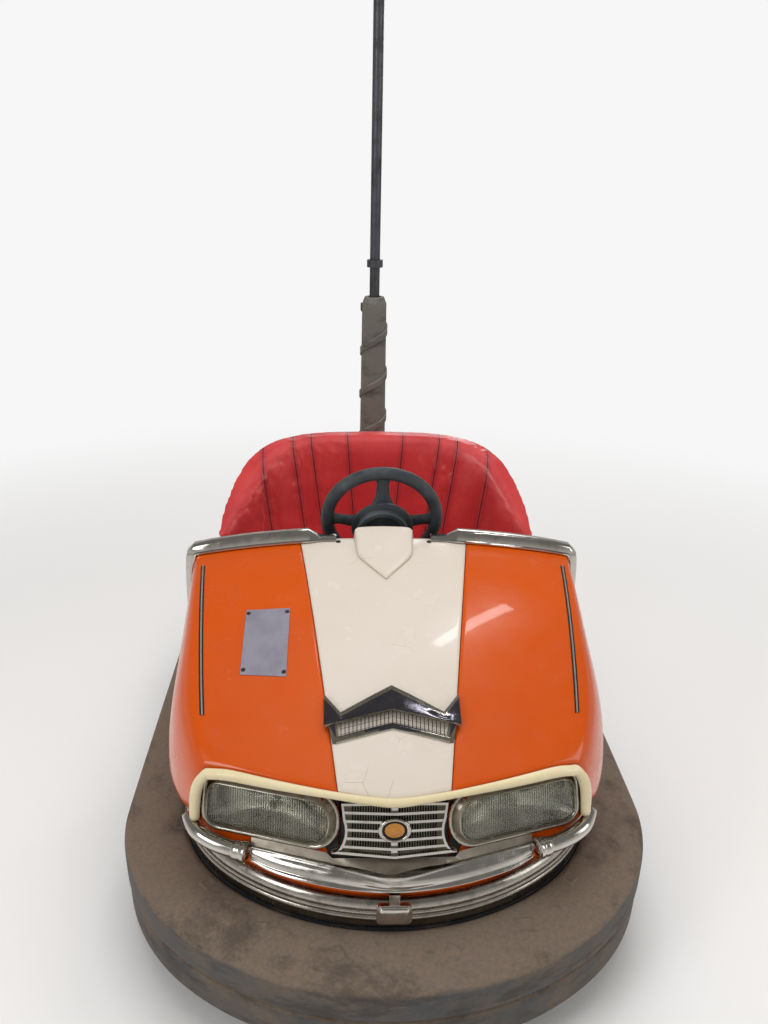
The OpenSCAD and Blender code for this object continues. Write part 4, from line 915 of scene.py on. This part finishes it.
AXLE_BORE = 10.2
road_wheel("drive_wheel", PIVOT_OF["drive_wheel_spin"], 120, 82, AXLE_BORE, 6)
for name in ("rear_wheel_left", "rear_wheel_right"):
    road_wheel(name, PIVOT_OF[name + "_spin"], 76, 44, AXLE_BORE, 5)


# Small things: clips on the mast's sleeve and a ribbed mat on the cockpit floor.

MAST_Y = 0.772
CLIP_R = 43.5
CLIP_SECTION = [(-1.5, -9), (0, -9), (1.4, -7), (1.4, 7), (0, 9), (-1.5, 9), (-1.5, -9)]


def mast_clip(number, height):
    bm = turned([(CLIP_R + out, up) for out, up in CLIP_SECTION], 64)
    bmesh.ops.transform(bm, matrix=Matrix.Translation((0, MAST_Y, height)), verts=bm.verts)
    sharpen(bm, 40)
    piece(bm, f"mast_clip_{number}", STEEL, body=BODY_OF["mast_sleeve"], slot=SLOT_OF["mast_sleeve"])


for number, height in enumerate((0.575, 0.61)):
    mast_clip(number, height)


def ribbed_mat():
    """A ribbed rubber mat with rounded ribs along the car, laid between the bulkhead and the seat."""
    bm = bmesh.new()
    ribs, half, front, back, lie, rise = 52, 0.36, -0.24, 0.118, 0.1068, 0.0014
    bmesh.ops.create_grid(bm, x_segments=ribs * 4, y_segments=2, size=1)
    for vert in bm.verts:
        wave = math.sin(vert.co.x * ribs * math.pi)
        y = front + (vert.co.y + 1) / 2 * (back - front)
        vert.co = Vector((vert.co.x * half, y, lie + rise * wave))
    for face in bm.faces:
        face.smooth = True
    obj = piece(bm, "floor_mat", MAT_RUBBER, body=BODY_OF["floor_pan"], slot=SLOT_OF["floor_pan"])
    add_modifier(obj, "SOLIDIFY", thickness=0.001, offset=-1)


ribbed_mat()


# The studio: a pale floor, soft light and the photograph's viewpoint.

CAMERA_AT = (-0.097, -2.144, 1.592)
CAMERA_YAW, CAMERA_PITCH, CAMERA_ROLL = 2.77, 21.6, 1.2
FOCAL_PX = 919
PICTURE_LONG_SIDE = 1024
SENSOR = 36
BACKGROUND = 0.93
HORIZON = 0.62
CEILING = 0.2
SKY_LIGHT = 0.5


def make_camera():
    data = bpy.data.cameras.new("camera")
    data.sensor_width = SENSOR
    data.lens = FOCAL_PX / PICTURE_LONG_SIDE * SENSOR
    camera = bpy.data.objects.new("camera", data)
    bpy.context.scene.collection.objects.link(camera)
    turn = (Matrix.Rotation(math.radians(-CAMERA_YAW), 4, "Z")
            @ Matrix.Rotation(math.radians(90 - CAMERA_PITCH), 4, "X")
            @ Matrix.Rotation(math.radians(CAMERA_ROLL), 4, "Z"))
    camera.matrix_world = Matrix.Translation(CAMERA_AT) @ turn
    bpy.context.scene.camera = camera


def seen_directly(tree):
    """1 for what the eye sees directly or through glass, and 0 for light and for what shows in a mirror."""
    path = put(tree, "LightPath").outputs
    return math_node(tree, "ADD", path["Is Camera Ray"], path["Is Transmission Ray"], clamp=True)


def make_world():
    """White to the eye. In bright metal it is grey at the horizon under a dark ceiling, as in a hall."""
    world = bpy.data.worlds.new("studio")
    world.use_nodes = True
    tree = world.node_tree
    tree.nodes.clear()
    height = put(tree, "SeparateXYZ", {"Vector": put(tree, "TexCoord").outputs["Generated"]}).outputs["Z"]
    hall = put(tree, "MapRange", {"Value": height, "From Min": 0.0, "From Max": 0.55, "To Min": HORIZON,
                                  "To Max": CEILING}, interpolation_type="SMOOTHSTEP").outputs[0]
    mirrored = put(tree, "LightPath").outputs["Is Glossy Ray"]
    level = math_node(tree, "ADD", math_node(tree, "MULTIPLY", mirrored, hall),
                      math_node(tree, "MULTIPLY", math_node(tree, "SUBTRACT", 1.0, mirrored), SKY_LIGHT))
    lit = put(tree, "Background", {"Strength": level, "Color": (1, 0.97, 0.93, 1)})
    seen = put(tree, "Background", {"Strength": BACKGROUND, "Color": (1, 1, 1, 1)})
    mix = put(tree, "MixShader", {0: seen_directly(tree)})
    tree.links.new(lit.outputs[0], mix.inputs[1])
    tree.links.new(seen.outputs[0], mix.inputs[2])
    put(tree, "OutputWorld", {"Surface": mix.outputs[0]})
    bpy.context.scene.world = world


def make_floor():
    """A pale floor that fades into the background far away, so that no horizon line shows."""
    bm = bmesh.new()
    bmesh.ops.create_circle(bm, cap_ends=True, segments=64, radius=40)
    mesh = bpy.data.meshes.new("floor")
    bm.to_mesh(mesh)
    bm.free()
    floor = bpy.data.objects.new("floor", mesh)
    bpy.context.scene.collection.objects.link(floor)
    material, tree, shader = surface("studio_floor", Roughness=0.6, Specular_IOR_Level=0.2)
    shader.inputs["Base Color"].default_value = (0.9, 0.9, 0.9, 1)
    far = put(tree, "VectorMath", {0: place(tree)}, operation="LENGTH").outputs["Value"]
    fade = put(tree, "MapRange", {"Value": far, "From Min": 1.2, "From Max": 3.6},
               interpolation_type="SMOOTHSTEP").outputs[0]
    fade = math_node(tree, "MULTIPLY", fade, seen_directly(tree))
    glow = put(tree, "Emission", {"Strength": BACKGROUND})
    mix = put(tree, "MixShader", {0: fade, 1: shader.outputs[0], 2: glow.outputs[0]})
    out = next(n for n in tree.nodes if n.type == "OUTPUT_MATERIAL")
    tree.links.new(mix.outputs[0], out.inputs["Surface"])
    mesh.materials.append(material)


def make_lamp(name, at, target, size, watts, mirrored=True):
    """A soft box. One that isn't mirrored lights the car but doesn't show as a pale patch in its gloss."""
    data = bpy.data.lights.new(name, "AREA")
    data.shape = "RECTANGLE"
    data.size, data.size_y = size
    data.energy = watts
    lamp = bpy.data.objects.new(name, data)
    lamp.location = at
    lamp.rotation_euler = (Vector(target) - Vector(at)).to_track_quat("-Z", "Y").to_euler()
    lamp.visible_glossy = mirrored
    bpy.context.scene.collection.objects.link(lamp)


make_camera()
make_world()
make_floor()
make_lamp("overhead_softbox", (0, -0.4, 3.6), (0, 0, 0), (2.6, 2.2), 48, mirrored=False)
make_lamp("key_softbox", (-2.6, -2.6, 2.6), (0, 0, 0.5), (1.2, 1.6), 32)
make_lamp("strip_light", (0.9, 0.6, 3.2), (0, -0.3, 0.5), (0.1, 0.8), 4)
make_lamp("fill_softbox", (3.0, -1.6, 2.0), (0, 0, 0.5), (1.0, 1.6), 13)
make_lamp("rear_softbox", (0.8, 3.4, 2.6), (0, 0, 0.5), (1.6, 1.2), 22)

bpy.context.scene.view_settings.view_transform = "Standard"
